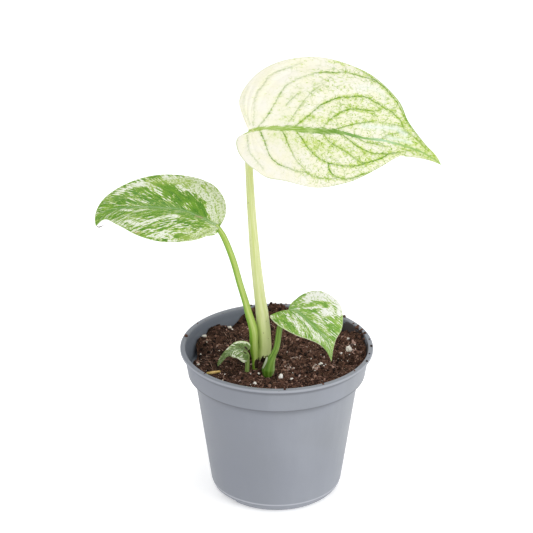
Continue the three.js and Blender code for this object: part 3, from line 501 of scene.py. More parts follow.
def two_sheets(leaf):
    """The blade's faces: the upper sheet, the lower one after it, and the hem between them.

    Each sheet's points are the notch, the tip, the midrib, then each half's grid.
    """
    columns, rows = leaf["grid"]
    size = 2 + (columns - 1) * (1 + 2 * rows)
    column = np.arange(columns - 1)
    faces = []

    def both(order, *corners):
        corners = np.stack(np.broadcast_arrays(*corners), -1).reshape(-1, len(corners))[:, ::order]
        faces.extend(corners.tolist())
        faces.extend((corners[:, ::-1] + size).tolist())

    for half, order in enumerate((1, -1)):
        first = 2 + (columns - 1) * (1 + half * rows)
        grid = np.column_stack([2 + column, first + column[:, None] * rows + np.arange(rows)[None]])
        both(order, 0, grid[0, :-1], grid[0, 1:])
        both(order, 1, grid[-1, 1:], grid[-1, :-1])
        both(order, grid[:-1, :-1], grid[1:, :-1], grid[1:, 1:], grid[:-1, 1:])
        edge = np.concatenate([[0], grid[:, -1], [1]])
        hem = np.stack([edge[:-1], edge[1:], edge[1:] + size, edge[:-1] + size], -1)
        faces.extend(hem[:, ::-order].tolist())
    return faces


def make_blade(key, veins, marks, material):
    leaf = LEAVES[key]
    columns, rows = leaf["grid"]
    u = np.arange(1, columns) / columns
    v = (np.arange(1, rows + 1) / rows) ** 1.12
    plan = [[[0, 0], [leaf["length"], 0]], np.stack([vein_root(leaf, u), 0 * u], -1)]
    shares = [[[0, 0, 1], [1, 0, 1]], np.stack([u, 0 * u, 0 * u + 1], -1)]
    for side in (1, -1):
        plan.append(blade_plan(leaf, side, u[:, None], v[None]).reshape(-1, 2))
        uu, vv = np.broadcast_arrays(u[:, None], v[None])
        shares.append(np.stack([uu.ravel(), vv.ravel(), np.full(uu.size, side)], -1))
    plan = np.vstack(plan)
    uu, vv, side = np.vstack(shares).T
    x, y = plan.T
    normal = blade_normal(leaf, np.clip(x, -20, leaf["length"] - 0.05), y)
    # swollen between the veins, and waved along the margin
    between = abs(np.sin(np.pi * uu * leaf["veins"]))
    swell = leaf["quilt"] * between * np.sin(np.pi * np.minimum(1, 1.05 * vv))
    *heights, count, start = leaf["wave"]
    turn = 2 * np.pi * (count * uu + start + 0.3 * side)
    wave = np.where(side > 0, *heights) * vv ** 3 * np.sin(turn) * np.sin(np.pi * uu)
    middle = blade_form(leaf, x, y) + normal * (swell + wave)[:, None]
    # a keel under the midrib and a groove over it, and grooves over the side veins
    rib = y - np.interp(x, *RIBS[key]["line"])
    rib_width = np.interp(x, *RIBS[key]["width"])
    keel_height, keel_width = leaf["keel"]
    ridge = keel_height * (0.15 + 0.85 * (1 - np.clip(x / leaf["length"], 0, 1)))
    ridge = ridge * np.exp(-((rib / keel_width) ** 2))
    gap, signed, force = near_veins(plan, veins)
    half = HALF_THICKNESS * (1 - 0.45 * vv ** 10)
    groove = MIDRIB_GROOVE * np.exp(-((rib / (0.8 * rib_width)) ** 2)) * (1 - uu ** 3)
    sunk = VEIN_GROOVE * force * np.exp(-((gap / VEIN_WIDTH) ** 2))
    upper = middle + normal * (half - groove - sunk)[:, None]
    lower = middle - normal * (half + ridge + 1.4 * sunk)[:, None]
    chord = np.hypot(x - vein_root(leaf, uu), y)
    margin = (1 - vv) * np.where(vv > 0.01, chord / np.maximum(vv, 0.01), 20)
    # how far along the midrib a point's streak starts, and how far out on the streak it lies
    slant, opening = np.where(side[:, None] > 0, *leaf["streaks"]).T
    start = (x - slant * abs(y)) / (1 + opening * abs(y))
    streak = np.stack([start, abs(y) * np.hypot(1, slant), 40 * side], -1)
    values = dict(
        streak=streak, plan=np.stack([x, y, 0 * x], -1), vein=gap, signed=signed, force=force,
        rib=rib / rib_width, run=x / leaf["length"], margin=margin,
        **{name: strokes(plan, given) for name, given in marks.items()},
    )
    values = {name: np.concatenate([given, given]) for name, given in values.items()}
    values["back"] = np.repeat([0, 1], len(plan))
    return make_piece(
        "leaf_" + key, np.vstack([upper, lower]), two_sheets(leaf), material, leaf["slot"],
        ["blade_" + key], sharp=50, **values,
    )


# Colour strokes in each leaf's plan: amount, half width and the points of the line. A mark that a leaf
# does without has an empty list.
LARGE_MARKS = dict(
    green=[
        (0.5, 9, [60, 10], [80, 12], [92, 6]), (0.5, 7, [46, -12], [70, -12], [85, -8]),
        (0.95, 7, [96, 2], [118, 0]),
        (0.5, 4.5, [45.5, 11.2], [54.2, 18.2], [64.2, 20.8], [73.5, 18.9]),
        (0.45, 4, [36.7, -8.3], [49.1, -12.9]), (0.45, 3.5, [49.9, -6.8], [64.6, -9.4], [73.5, -9.9]),
        (0.4, 3, [30.9, 0.9], [41.8, 2.6], [52.5, 5.1]),
        (0.7, 1.4, [39.8, 41.6], [45.5, 42.1], [52, 41.7], [59.3, 40.4], [65.1, 38.3]),
        (0.3, 6, [24, -14], [38, -26], [55, -28]), (0.5, 4, [76, 30], [88, 20], [95, 12]),
        (0.25, 6, [20, 10], [34, 22], [50, 32]), (0.35, 4, [62, -24], [76, -18]),
        (0.9, 4, [13, -6], [26, -9], [42, -12]), (0.6, 2.5, [18, 3.5], [30, 4], [42, 5]),
    ],
    chalk=[
        (0.9, 1.6, [67.7, 7.1], [77.9, 8.8], [87.9, 10.4], [93.9, 7.8]),
        (0.8, 1.2, [83.8, 4], [90.6, 4.2], [97.5, 3.9]), (0.5, 2, [60, 30], [70, 31], [76, 28]),
    ],
)
LEFT_MARKS = dict(
    pale=[
        (0.8, 1.2, [62.5, -11.2], [57.6, -13.2], [52.1, -15.4]),
        (0.5, 1.2, [52.1, -15.4], [49.3, -16.4]),
        (0.95, 2, [49.3, -16.4], [44.3, -13.3], [40.2, -10.7]), (0.7, 0.9, [53.9, -8.1], [51.3, -7.1]),
        (0.75, 1, [56, -6.2], [52.2, -5.3], [46.4, -2.6]), (0.6, 0.6, [59.5, -2.2], [46.1, 0.4]),
        (0.5, 0.6, [66.6, -5.7], [62.9, -5]), (0.8, 0.9, [59.6, 1.7], [51.2, 4.5], [44.9, 2.5]),
        (0.6, 1, [39.4, -7.8], [35.6, -5.6], [33.3, -3.9]), (0.6, 0.8, [33.3, -9.8], [31.5, -8]),
        (0.85, 1.6, [38.7, -21.9], [34.7, -19.5], [31.6, -17.1], [28.3, -12]),
        (0.7, 1.2, [28.8, -14.9], [25.7, -14]), (0.5, 0.5, [28.4, -5.2], [22.6, -1.3]),
        (0.4, 0.5, [26.1, -8.9], [23.5, -4.6]), (0.8, 2, [28.7, -22.1], [25.3, -21]),
        (0.85, 2.2, [25.1, -17.8], [20.2, -14.4], [16.2, -11.7]),
        (0.8, 1.5, [16.2, -16.5], [12.5, -8.2], [9.8, -4.1]),
        (0.8, 1, [15.7, -8.8], [13.1, -5.4], [8.3, -1.8]),
        (0.6, 6, [28, -21], [17, -17], [8, -10], [7, -5]),
        (0.5, 4.5, [60, 8], [45, 13], [30, 15], [14, 13], [5, 7]),
        (0.55, 2.5, [62, -13], [48, -18], [33, -24]),
        (0.6, 1.6, [70, 5], [62.7, 11.5], [48.6, 21.5], [38, 24]), (0.25, 6, [68, -8], [78, -3]),
        (0.8, 1.5, [55.5, 12.1], [50.4, 15.1], [45.7, 15.5]),
        (0.75, 1.1, [44.8, 13.2], [36.5, 9], [32.2, 5.5], [27.3, 4.8]), (0.8, 1.6, [33, 7], [29, 5.5]),
        (0.5, 1, [41.1, 19.8], [37.7, 18.6]), (1, 2.2, [37.7, 22.4], [28.9, 20.5]),
        (0.75, 2.2, [14.5, 17.2], [7.7, 10.8], [3, 4.9], [-0.9, 0.3]),
        (0.9, 1.8, [28, 24.8], [18, 22], [9, 17], [2, 10.5], [-2, 5]),
        (0.75, 4.5, [27, -25], [19, -25], [12, -20], [8, -13], [4, -3]),
        (0.6, 0.8, [18.8, 6.5], [17.1, 4]), (0.4, 0.6, [33.5, 13.2], [25.9, 6]),
        (0.45, 0.6, [25.6, 11.7], [21.1, 5.8]), (0.5, 0.8, [27.3, 19.3], [22.9, 16.3]),
        (-0.5, 2.5, [40.6, -14.4], [36.2, -9.9]), (-0.5, 2.5, [34.8, -13.2], [27.7, -6.9]),
        (-0.5, 3, [26.7, -11.7], [16, -3.2]),
    ],
    blush=[
        (1, 2, [8, 1.5], [20, 1.8], [35, 1.5], [50, 1], [66, 1]),
        (0.8, 2.5, [62, -7.5], [54, -9.5], [47, -8]), (0.9, 2, [56, -2], [42, -3], [30, -2]),
    ],
    torn=[],
    freckle=[
        (1, 5, [18, 20], [8, 15], [4, 8]), (0.6, 6, [26, -21], [16, -19], [9, -12], [5, -4]),
        (0.8, 2.5, [28, -22], [45, -17]),
    ],
    pink=[(0.8, 0.7, [18.8, 1.2], [15.1, 0.7]), (0.6, 0.8, [50.6, 20.7], [48.1, 21.6])],
)
RIGHT_MARKS = dict(
    pale=[
        (1.2, 2.3, [8.1, 11], [11.1, 16.1], [15.7, 19.6], [19.1, 21.6]),
        (0.8, 1.2, [9.5, 9.1], [11.2, 12], [15.5, 16.7]),
        (0.8, 0.8, [4.4, 1.7], [8.1, 4], [12.1, 6.2], [14.6, 9.5], [18.5, 11.8]),
        (0.7, 1.1, [17.7, 16.2], [20.4, 15.8], [19.9, 12.9]),
        (0.95, 1.4, [18.3, 18.3], [21.1, 19.8], [23, 18.5]),
        (1, 1.5, [17.5, 8.5], [20.7, 13.3], [24.3, 16.9]), (0.6, 1, [19.7, 8.7], [22.9, 13.3]),
        (0.75, 1, [15.2, 5], [19.5, 5.9], [23.3, 6.1], [24.8, 9.3]),
        (0.7, 0.9, [19, 1.8], [22.5, 3.4], [26.7, 4.3]), (0.7, 0.8, [27, 2.9], [30.6, 4.1]),
        (0.8, 1.3, [0.9, -3.7], [4, -6.1], [8.4, -6.5], [14, -8.6], [19, -8.8]),
        (0.7, 1, [4.6, -2.5], [9.4, -4.9], [13.4, -7]),
        (0.8, 0.9, [6.9, -0.9], [10.8, -1.9], [16.8, -2.2], [22.5, -2.9], [28, -1.5], [32, -0.9]),
        (0.6, 0.9, [15.5, -5.8], [21.9, -5.1], [29.3, -3.5], [32, -2.6]),
        (0.7, 0.9, [0.1, -10], [3.2, -9.7]), (0.7, 0.9, [-8.3, -7.4], [-6.5, -7.2]),
        (0.95, 1.2, [21.1, 21.3], [22.9, 20], [24.6, 18.2]), (0.7, 1, [24.7, 12.6], [27.4, 14.2]),
        (0.1, 3, [33, 5], [38, 1.5]),
        (-0.6, 0.9, [5.9, 1], [11.3, 0.3], [17, -0.1], [21.9, 0.4], [26.8, 0.5]),
        (-0.5, 0.9, [8.2, 2.6], [15.9, 7.5], [17.1, 7.4]),
        (-0.5, 0.9, [13.2, 11.9], [14.8, 12.8], [16.6, 14.8]), (-0.5, 0.8, [17.9, 14.4], [19.7, 15.4]),
        (-0.5, 0.9, [23.5, 11.3], [25.2, 12.7]), (-0.5, 1.2, [26.4, 8.4], [29.7, 9.9], [30.2, 6.7]),
        (-0.5, 1.4, [-3.4, -7.6], [-0.1, -5.6], [3.1, -8.1], [9.4, -9], [14.7, -10.1]),
    ],
    blush=[(0.7, 2.5, [1, 3], [5.2, 6.7], [7.7, 11.9]), (0.4, 2, [8, 1], [20, 0.5])],
    torn=[], freckle=[], pink=[],
)
LOW_MARKS = dict(
    pale=[
        (1.3, 0.9, [6.6, -4.3], [2.6, -4.8], [0.8, -5.2]),
        (1.3, 0.9, [9.4, 3.4], [5.8, 5.7], [-1.7, 6]),
        (0.6, 0.5, [12.6, -2.1], [8.5, -2.9], [5.5, -4.4]), (0.4, 2, [9.3, -0.7], [6, 1.4], [1.4, 3.3]),
        (-0.8, 0.9, [4.2, -1.7], [2.6, -0.6]), (0.35, 2, [23.3, 1.2], [21.3, -0.5], [17.6, -0.9]),
    ],
    blush=[(0.7, 3, [2, 0], [10, 1])],
    torn=[
        (0.75, 1, [1.1, -2.4], [1.3, -2.2]), (0.75, 0.9, [0.1, -1.6], [0.2, -1.4]),
        (0.75, 1, [1, 0.6], [1.1, 0.8]), (0.7, 0.8, [-0.4, 0.8], [-0.3, 1]),
        (0.65, 0.7, [4.2, -1.7], [2.6, -0.6]),
    ],
    freckle=[], pink=[],
)


def vein_line(g, width, plan):
    """1 on the jagged lines of the veins, 0 off them."""
    off = g.math("ABSOLUTE", g.sway(g.attribute("signed"), g.noise(plan, 0.75, 3, 0.6), 2))
    return g.times(g.step(off, 0.4 * width, 1.5 * width, 1, 0), g.step(g.attribute("vein"), 1.1, 1.7, 1, 0))


def cream_leaf():
    g = Graph("cream_leaf", Roughness=0.42, Specular_IOR_Level=0.15)
    plan = g.attribute("plan", "Vector")
    green, force, run, vein = (g.attribute(name) for name in ("green", "force", "run", "vein"))
    fine = g.noise(plan, 1.5, 4)
    g.tone = g.mix(g.step(g.noise(plan, 0.12), 0.3, 0.7), "#f1eee1", "#f0edd4")
    patch = g.step(g.noise(plan, 0.28), 0.32, 0.66)
    g.paint(g.times(green, g.plus(0.2, g.times(patch, 0.45)), clamp=True), "#d6e09a")
    g.paint(g.step(run, 0.78, 1, 0, 0.65), "#b4c96c")
    # yellow green blotches and specks, more of them where the leaf is greener
    blotch = g.noise(g.scaled(plan, 0.42, 0.75), 1, 3, 0.6, 0.4)
    blotch = g.plus(blotch, g.times(green, 0.09), g.step(run, 0.05, 0.4, -0.06, 0))
    g.paint(g.times(g.step(blotch, 0.58, 0.66), 0.7), "#bed36b")
    speck = g.plus(g.noise(g.scaled(plan, 0.8, 1), 0.7, 3, 0.65), g.times(green, 0.04))
    speck = g.plus(speck, g.step(vein, 0, 3, 0.03, 0), g.step(run, 0.1, 0.45, -0.12, 0))
    g.paint(g.times(g.step(speck, 0.625, 0.665), g.step(run, 0, 0.35, 0.3, 0.85)), "#98b92c")
    dot = g.plus(g.noise(plan, 0.5, 3, 0.5), g.times(green, 0.05), g.step(run, 0.1, 0.4, -0.1, 0))
    g.paint(g.step(dot, 0.66, 0.7, 0, 0.9), "#8fb02a")
    # a net of fine veins between the larger ones, clearest close to them
    crossed = g.plus(g.net(g.scaled(plan, 0.26, 0.36), 1.8, 0.7), g.times(fine, 0.08))
    net = g.step(crossed, 0.05, 0.13, 1, 0)
    share = g.plus(g.step(run, 0.1, 0.45, 0.12, 0.75), g.times(green, 0.5))
    share = g.times(share, g.step(vein, 0.5, 4, 1, 0.55), clamp=True)
    g.paint(g.times(net, patch, share), "#86aa20")
    # side veins with a soft halo, and chalky patches over them
    halo = g.times(g.step(vein, 0.2, 2.2, 1, 0), force)
    g.paint(g.times(halo, g.step(blotch, 0.42, 0.62, 0.2, 0.85)), "#b4cd58")
    line = g.times(vein_line(g, 0.38, plan), g.math("POWER", force, 1.1))
    g.paint(g.times(line, g.step(g.noise(plan, 0.6, 3, 0.6), 0.38, 0.56, 0.5, 1)), "#5f8c00")
    g.paint(g.times(g.attribute("chalk"), 0.65, clamp=True), "#e4eee8")
    # the midrib's band, streaked along it, its colour changing towards the tip
    lines = g.noise(g.scaled(plan, 0.15, 1.3), 1, 4, 0.6)
    band = g.ramp(run, [
        (0, "#9fb84c"), (0.25, "#84ab36"), (0.4, "#6a9526"), (0.5, "#66983a"), (0.6, "#86b062"),
        (0.68, "#aed0ab"), (0.78, "#8db35f"), (1, "#9dbc63"),
    ])
    inner = g.times(g.step(lines, 0.45, 0.6), g.step(run, 0.2, 0.5, 0.8, 0.35))
    far = g.sway(g.sway(g.math("ABSOLUTE", g.attribute("rib")), lines, 2.4), fine, 1.2)
    g.paint(g.step(far, 0.7, 1.35, 0.95, 0), g.mix(inner, band, "#bfd48a"))
    # a thin green margin, strongest on the upper right, and a paler back
    upper = g.times(g.step(g.split(plan)[1], 2, 10), g.step(run, 0.3, 0.6, 0, 0.5))
    g.paint(g.times(g.step(g.attribute("margin"), 0.3, 1, 1, 0), g.plus(0.42, upper)), "#7fa43a")
    g.paint(g.times(g.attribute("back"), 0.5), "#eef1cc")
    g.bump(g.plus(g.step(vein, 0, 1), g.times(fine, 0.25), g.times(net, -0.25)), 0.35, 0.0004)
    return g.finish(g.step(fine, 0.3, 0.7, 0.38, 0.52))


def mottled_leaf(name, dark, mid, light, white, level, blush, hem="#b9cf86"):
    """A green leaf streaked with white along its side veins."""
    g = Graph(name, Roughness=0.4, Specular_IOR_Level=0.2)
    plan, streak = (g.attribute(name, "Vector") for name in ("plan", "streak"))
    run, vein, freckle = (g.attribute(name) for name in ("run", "vein", "freckle"))
    small = g.noise(g.scaled(streak, 0.8, 0.2), 1, 3, 0.6, 0.3)
    fine = g.noise(plan, 1.6, 4, 0.6)
    g.tone = g.mix(g.step(g.noise(g.scaled(streak, 0.3, 0.1), 1), 0.35, 0.65), dark, mid)
    g.paint(g.times(g.attribute("blush"), g.step(small, 0.35, 0.6, 0.75, 0.4), clamp=True), blush)
    # white where the strokes and three sizes of streak add up, with a paler green round it
    value = g.times(g.attribute("pale"), 0.6)
    value = g.sway(value, g.noise(g.scaled(streak, 0.6, 0.12), 1, 4, 0.6, 0.3), 1)
    value = g.sway(value, small, 2.2)
    value = g.sway(value, g.noise(g.scaled(streak, 1, 0.5), 1, 3, 0.65), 2.4)
    g.paint(g.step(value, level - 0.3, level - 0.05, 0, 0.85), light)
    g.paint(g.step(fine, 0.36, 0.47, 0.45, 0), dark)
    g.paint(g.step(fine, 0.52, 0.62, 0, 0.2), light)
    g.paint(g.step(value, level - 0.02, level + 0.14), white)
    g.paint(g.times(freckle, 0.5, clamp=True), light)
    speck = g.step(g.plus(g.noise(plan, 0.9, 3, 0.6), g.times(freckle, 0.07)), 0.55, 0.61)
    speck = g.times(speck, g.step(value, level - 0.1, level + 0.2))
    g.paint(g.times(speck, g.plus(0.6, g.times(freckle, 0.25))), "#8fae3c")
    g.paint(g.times(vein_line(g, 0.25, plan), g.attribute("force"), 0.3), light)
    # the midrib: a pale thread in a green band
    rib = g.math("ABSOLUTE", g.attribute("rib"))
    lines = g.noise(g.scaled(plan, 0.1, 1.8), 1)
    g.paint(g.times(g.step(g.plus(rib, lines), 1.2, 2.2, 1, 0), g.step(run, 0.6, 0.95, 0.55, 0.25)), blush)
    thread = g.step(g.sway(rib, lines, 1.5), 0.15, 0.5, 1, 0)
    g.paint(g.times(thread, g.step(run, 0.5, 0.9, 0.4, 0.15)), "#a9c98d")
    # the hem, pink touches, torn brown spots and a paler back
    edge = g.step(g.attribute("margin"), 0.2, 0.8, 1, 0)
    g.paint(g.times(edge, g.step(g.split(plan)[1], -3, 3, 0.7, 0.3)), hem)
    pink = g.times(g.attribute("pink"), g.step(fine, 0.35, 0.6))
    g.paint(g.times(pink, 0.8, clamp=True), "#cf9a80")
    torn = g.sway(g.attribute("torn"), g.noise(plan, 1.2), 1.6)
    g.paint(g.step(torn, 0.5, 0.62, 0, 0.8), "#5f6433")
    g.paint(g.step(torn, 0.66, 0.8), "#2c2216")
    g.paint(g.times(g.attribute("back"), 0.45), "#c4d4a4")
    g.bump(g.plus(g.step(vein, 0, 0.9), g.times(fine, 0.35)), 0.4, 0.0004)
    return g.finish(g.step(fine, 0.3, 0.7, 0.34, 0.5))


make_blade("large", LARGE_VEINS, LARGE_MARKS, cream_leaf())
make_blade("left", side_veins(LEAVES["left"], 0.6), LEFT_MARKS, mottled_leaf(
    "mottled_leaf_left", "#4a8020", "#6e9c2c", "#b2c766", "#e8ecdc", 0.38, "#6c9650"))
make_blade("right", side_veins(LEAVES["right"], 0.6), RIGHT_MARKS, mottled_leaf(
    "mottled_leaf_right", "#5c9030", "#86ad48", "#bccf7e", "#e9ebe1", 0.3, "#7aa05c", "#dfe7c2"))
make_blade("low", side_veins(LEAVES["low"], 0.5), LOW_MARKS, mottled_leaf(
    "grey_green_leaf", "#4f6a2c", "#738a4c", "#9fb27a", "#e2e5d4", 0.44, "#6c8058"))


# Stalks: the middle line, the seat (how far along the blade and how deep in it the stalk ends), and
# the radius at even steps along the stalk
STALKS = {
    "large": dict(
        line=[[-8.4, -10.6, 86.3], [-8.2, -10.9, 95], [-7.7, -12.2, 104], [-10.2, -11.7, 132.5],
              [-13.5, -9.6, 163.9], [-15.3, -8.2, 187.3], [-16.7, -6, 211.7], [-17.4, -3.2, 232],
              [-16.9, -2.9, 238.6]],
        seat=[3, 0.5], radius=[2, 2.2, 3, 3.4, 3, 2.6, 2.3, 2.2, 2.2, 2.1], slot="stalk_pale"),
    "left": dict(
        line=[[-13.2, -19, 86.3], [-13.2, -19, 92], [-13.4, -17.9, 97], [-14, -16.8, 103],
              [-14.4, -16.3, 115.5], [-17.2, -15.6, 126.2], [-19.2, -14.6, 133.9],
              [-22.6, -13.8, 145.7], [-26.8, -12.2, 161.1], [-32.7, -10.4, 176.3]],
        seat=[4, 0.5], radius=[1.8, 1.8, 2, 2.7, 2.75, 2.3, 2.05, 1.95, 1.9, 1.8, 1.5],
        slot="stalk_green"),
    "right": dict(
        line=[[-5.1, -27, 86.3], [-5.2, -27, 90], [-5.2, -26.7, 94], [-3.9, -26, 99.3],
              [-2.1, -25.2, 103.3], [-0.3, -24.3, 107.3], [1.9, -18.6, 119], [4.2, -17.4, 126.3]],
        seat=[1.5, 0.9], radius=[2.6, 3.3, 4.1, 3, 1.9, 1.8, 1.8, 1.7, 1.2], slot="stalk_green"),
    "low": dict(
        line=[[-18.6, -24.2, 86.3], [-18.3, -24.3, 91], [-18, -23.2, 98], [-18.1, -22.6, 102]],
        seat=[1.2, 0.3], radius=[1.4, 1.4, 1.3, 1.2, 0.9], slot="stalk_green"),
}
STALK_SIDES = 48
STALK_STATIONS = 90
STALK_FOOT_Z = 86
# How high painted shade darkens the large stalk under its torn hem, how high soil stains the others, and
# where the painted shade of the torn hem's hole begins and ends
LARGE_SHADE_Z = 99
STAIN_Z = 91.5
HOLE_SHADE_FOOT_Z = 90
HOLE_SHADE_TOP_Z = 98
# The large stalk's torn sheath, from its hem up: height, place and radius
SHEATH = [
    [97.2, -8.2, -12.7, 4.7],
    [103, -7.4, -12.3, 4.1],
    [114, -8, -12.2, 4.1],
    [126, -9.2, -12, 3.85],
    [136, -10.4, -11.6, 3.35],
]
SHEATH_TOP_Z = 139
SHEATH_TAPER = 0.28  # how much the radius shrinks in a millimetre above the last row
SHEATH_SIDES = 120
SHEATH_RINGS = 40
HEM_SPREAD = 7  # how far up the tears are felt
# The inside of the open hem, from the top down: height and radius
SHEATH_INSIDE = [(105, 3), (102, 3.2), (99.5, 3.4)]
# The middle points that close the sheath, hidden in the stalk: inside the hem, and at the top
SHEATH_INSIDE_Z = 106
SHEATH_CAP = [-10.8, -11.5, 139.5]
# The sheath's lower hem: angle in degrees, height and spread of each tooth
HEM_TEETH = [(240, -2.6, 12), (345, 1.2, 20), (190, 0.6, 14), (268, 0.5, 8), (120, -0.9, 25), (60, 0.8, 18)]
# The pale strip of skin that peels off the right stalk, near its foot
SKIN_STRIP = [[-5.9, -27.4, 102.6], [-6.5, -28.4, 100.6], [-7.3, -29.4, 98.8], [-8.5, -30.1, 96.4]]
# The dry thread that hangs on the left leaf's tip
LEAF_THREAD = [[-110, 3.3, 176.5], [-108.9, 3.2, 175.8], [-107.5, 3.1, 176.3], [-105.9, 3.0, 177]]
WRAP_RADIUS = 2.5


def centripetal(points, t):
    """Points of the smooth line through the given points, its knots spaced by root distance."""
    points = np.asarray(points, float)
    last = len(points) - 1
    place = np.asarray(t, float) * last
    low = np.minimum(place.astype(int), last - 1)
    w = (place - low)[:, None]
    padded = np.vstack([2 * points[0] - points[1], points, 2 * points[-1] - points[-2]])
    a, b, c, d = (padded[low + k] for k in range(4))
    ab, bc, cd = (np.sqrt(np.linalg.norm(q - p, axis=1))[:, None] for p, q in ((a, b), (b, c), (c, d)))
    start = ((b - a) / ab - (c - a) / (ab + bc) + (c - b) / bc) * bc
    end = ((c - b) / bc - (d - b) / (bc + cd) + (d - c) / cd) * bc
    return b + start * w + (3 * (c - b) - 2 * start - end) * w ** 2 + (2 * (b - c) + start + end) * w ** 3


def wrapped(angle, length):
    """Places round and along a stalk, for streaks that follow it."""
    return np.stack([WRAP_RADIUS * np.cos(angle), WRAP_RADIUS * np.sin(angle), length], -1)


def tube(line, radii, stations, sides, wobble=None):
    """Points, faces and, at each point, the place round and along a tube."""
    t = np.linspace(0, 1, stations)
    centre = centripetal(line, t)
    along = unit(np.gradient(centre, axis=0))
    across = [unit(np.array([1.0, 0, 0]) - along[0] * along[0][0])]
    for heading in along[1:]:
        across.append(unit(across[-1] - heading * (across[-1] @ heading)))
    across = np.array(across)
    other = np.cross(along, across)
    radius = np.interp(t, np.linspace(0, 1, len(radii)), radii)[:, None]
    angle = round_angles(sides)
    if wobble is not None:
        radius = radius * wobble(t[:, None], angle[None])
    ring = (centre[:, None] + (radius * np.cos(angle))[..., None] * across[:, None]
            + (radius * np.sin(angle))[..., None] * other[:, None])
    points = np.vstack([ring.reshape(-1, 3), centre[:1], centre[-1:]])
    reach = travelled(centre)
    wrap = wrapped(np.tile(angle, stations), np.repeat(reach, sides))
    return points, ring_faces(stations, sides), np.vstack([wrap, [[0, 0, 0], [0, 0, reach[-1]]]])


def join(parts):
    """Parts, each of points, faces and a value or row of values per point, as one."""
    points, faces, values = [], [], []
    count = 0
    for part_points, part_faces, part_values in parts:
        points.append(part_points)
        faces += [[k + count for k in face] for face in part_faces]
        values.append(part_values)
        count += len(part_points)
    return np.vstack(points), faces, np.concatenate(values)


def with_values(points, faces, wrap, dirt=0, skin=0):
    """A part of a stalk, with the row of its wrap, soil stain and painted shade, and skin at each point."""
    spread = [np.broadcast_to(value, len(points)) for value in (dirt, skin)]
    return points, faces, np.column_stack([wrap, *spread])


def make_stalk(name, parts, material, slot, nodes=(), sharp=None):
    points, faces, values = join(parts)
    return make_piece(
        name, points, faces, material, slot, nodes, sharp,
        wrap=values[:, :3], dirt=values[:, 3], skin=values[:, 4],
    )


def stalk_material(name, base, pale, shade, bands=()):
    """Lengthwise streaks, bands up the sides, and soil stain and painted shade at the foot.

    Each band has the sides where it begins and is full, its colour and share, and how high it goes.
    """
    g = Graph(name, Roughness=0.42, Specular_IOR_Level=0.25)
    wrap = g.attribute("wrap", "Vector")
    lines = g.noise(g.scaled(wrap, 1, 1, 0.03), 0.9, 4, 0.6)
    thin = g.noise(g.scaled(wrap, 1, 1, 0.02), 2.6, 3, 0.6)
    side, _, up = g.split(wrap)
    ragged = g.sway(side, thin, 2)
    g.tone = g.mix(g.step(lines, 0.38, 0.62), base, pale)
    g.paint(g.times(g.step(thin, 0.48, 0.64), 0.5), shade)
    for low, high, code, share, below in bands:
        g.paint(g.times(g.step(ragged, low, high), g.step(up, below - 8, below + 8, share, 0)), code)
    g.paint(g.times(g.step(g.noise(wrap, 0.8, 2), 0.7, 0.76), 0.35), "#8f8450")
    g.paint(g.times(g.attribute("skin"), g.step(lines, 0.3, 0.6, 0.5, 1)), "#c9cfb6")
    # painted shade in the torn hem's hole and inside the sheath, with soil stain at the feet, as one dark
    # brown
    grime_and_shade = g.sway(g.attribute("dirt"), g.noise(g.place(), 700, 3, 0.6), 1.6)
    g.paint(g.step(grime_and_shade, 0.25, 0.6), "#3a2a1f")
    g.bump(g.plus(lines, g.times(thin, 0.6)), 0.5, 0.0004)
    return g.finish()


ALL_THE_WAY = 400
STALK_MATERIALS = {
    # the large stalk's first band pales its lower part as painted light, against the shade from the leaves
    # and the soil
    "large": stalk_material("stalk_pale", "#ccd48e", "#dadfaa", "#b9c76e", [
        (2.6, 2.4, "#dfeca0", 0.7, 34), (-0.5, -1.7, "#aec752", 0.6, 36), (-1.9, -2.4, "#8aad34", 0.8, 32),
    ]),
    "left": stalk_material("stalk_bright", "#a6bf52", "#bed07e", "#82a534", [
        (-0.4, -1.5, "#6f9f1e", 0.9, ALL_THE_WAY), (1.6, 2.3, "#86ab36", 0.6, ALL_THE_WAY),
    ]),
    "right": stalk_material("stalk_green", "#557f1c", "#8dae4e", "#406810", [
        (2.6, 2.4, "#3f6a0c", 0.6, 8), (-1.4, -2.1, "#456e14", 0.5, ALL_THE_WAY),
        (1.3, 2.1, "#a9c480", 0.6, ALL_THE_WAY),
    ]),
    "low": stalk_material("stalk_dull", "#70903a", "#94a866", "#52702a"),
}


def ribbed(t, angle):
    return 1 + 0.02 * np.sin(7 * angle + 3 * t) + 0.012 * np.sin(17 * angle - 5 * t)


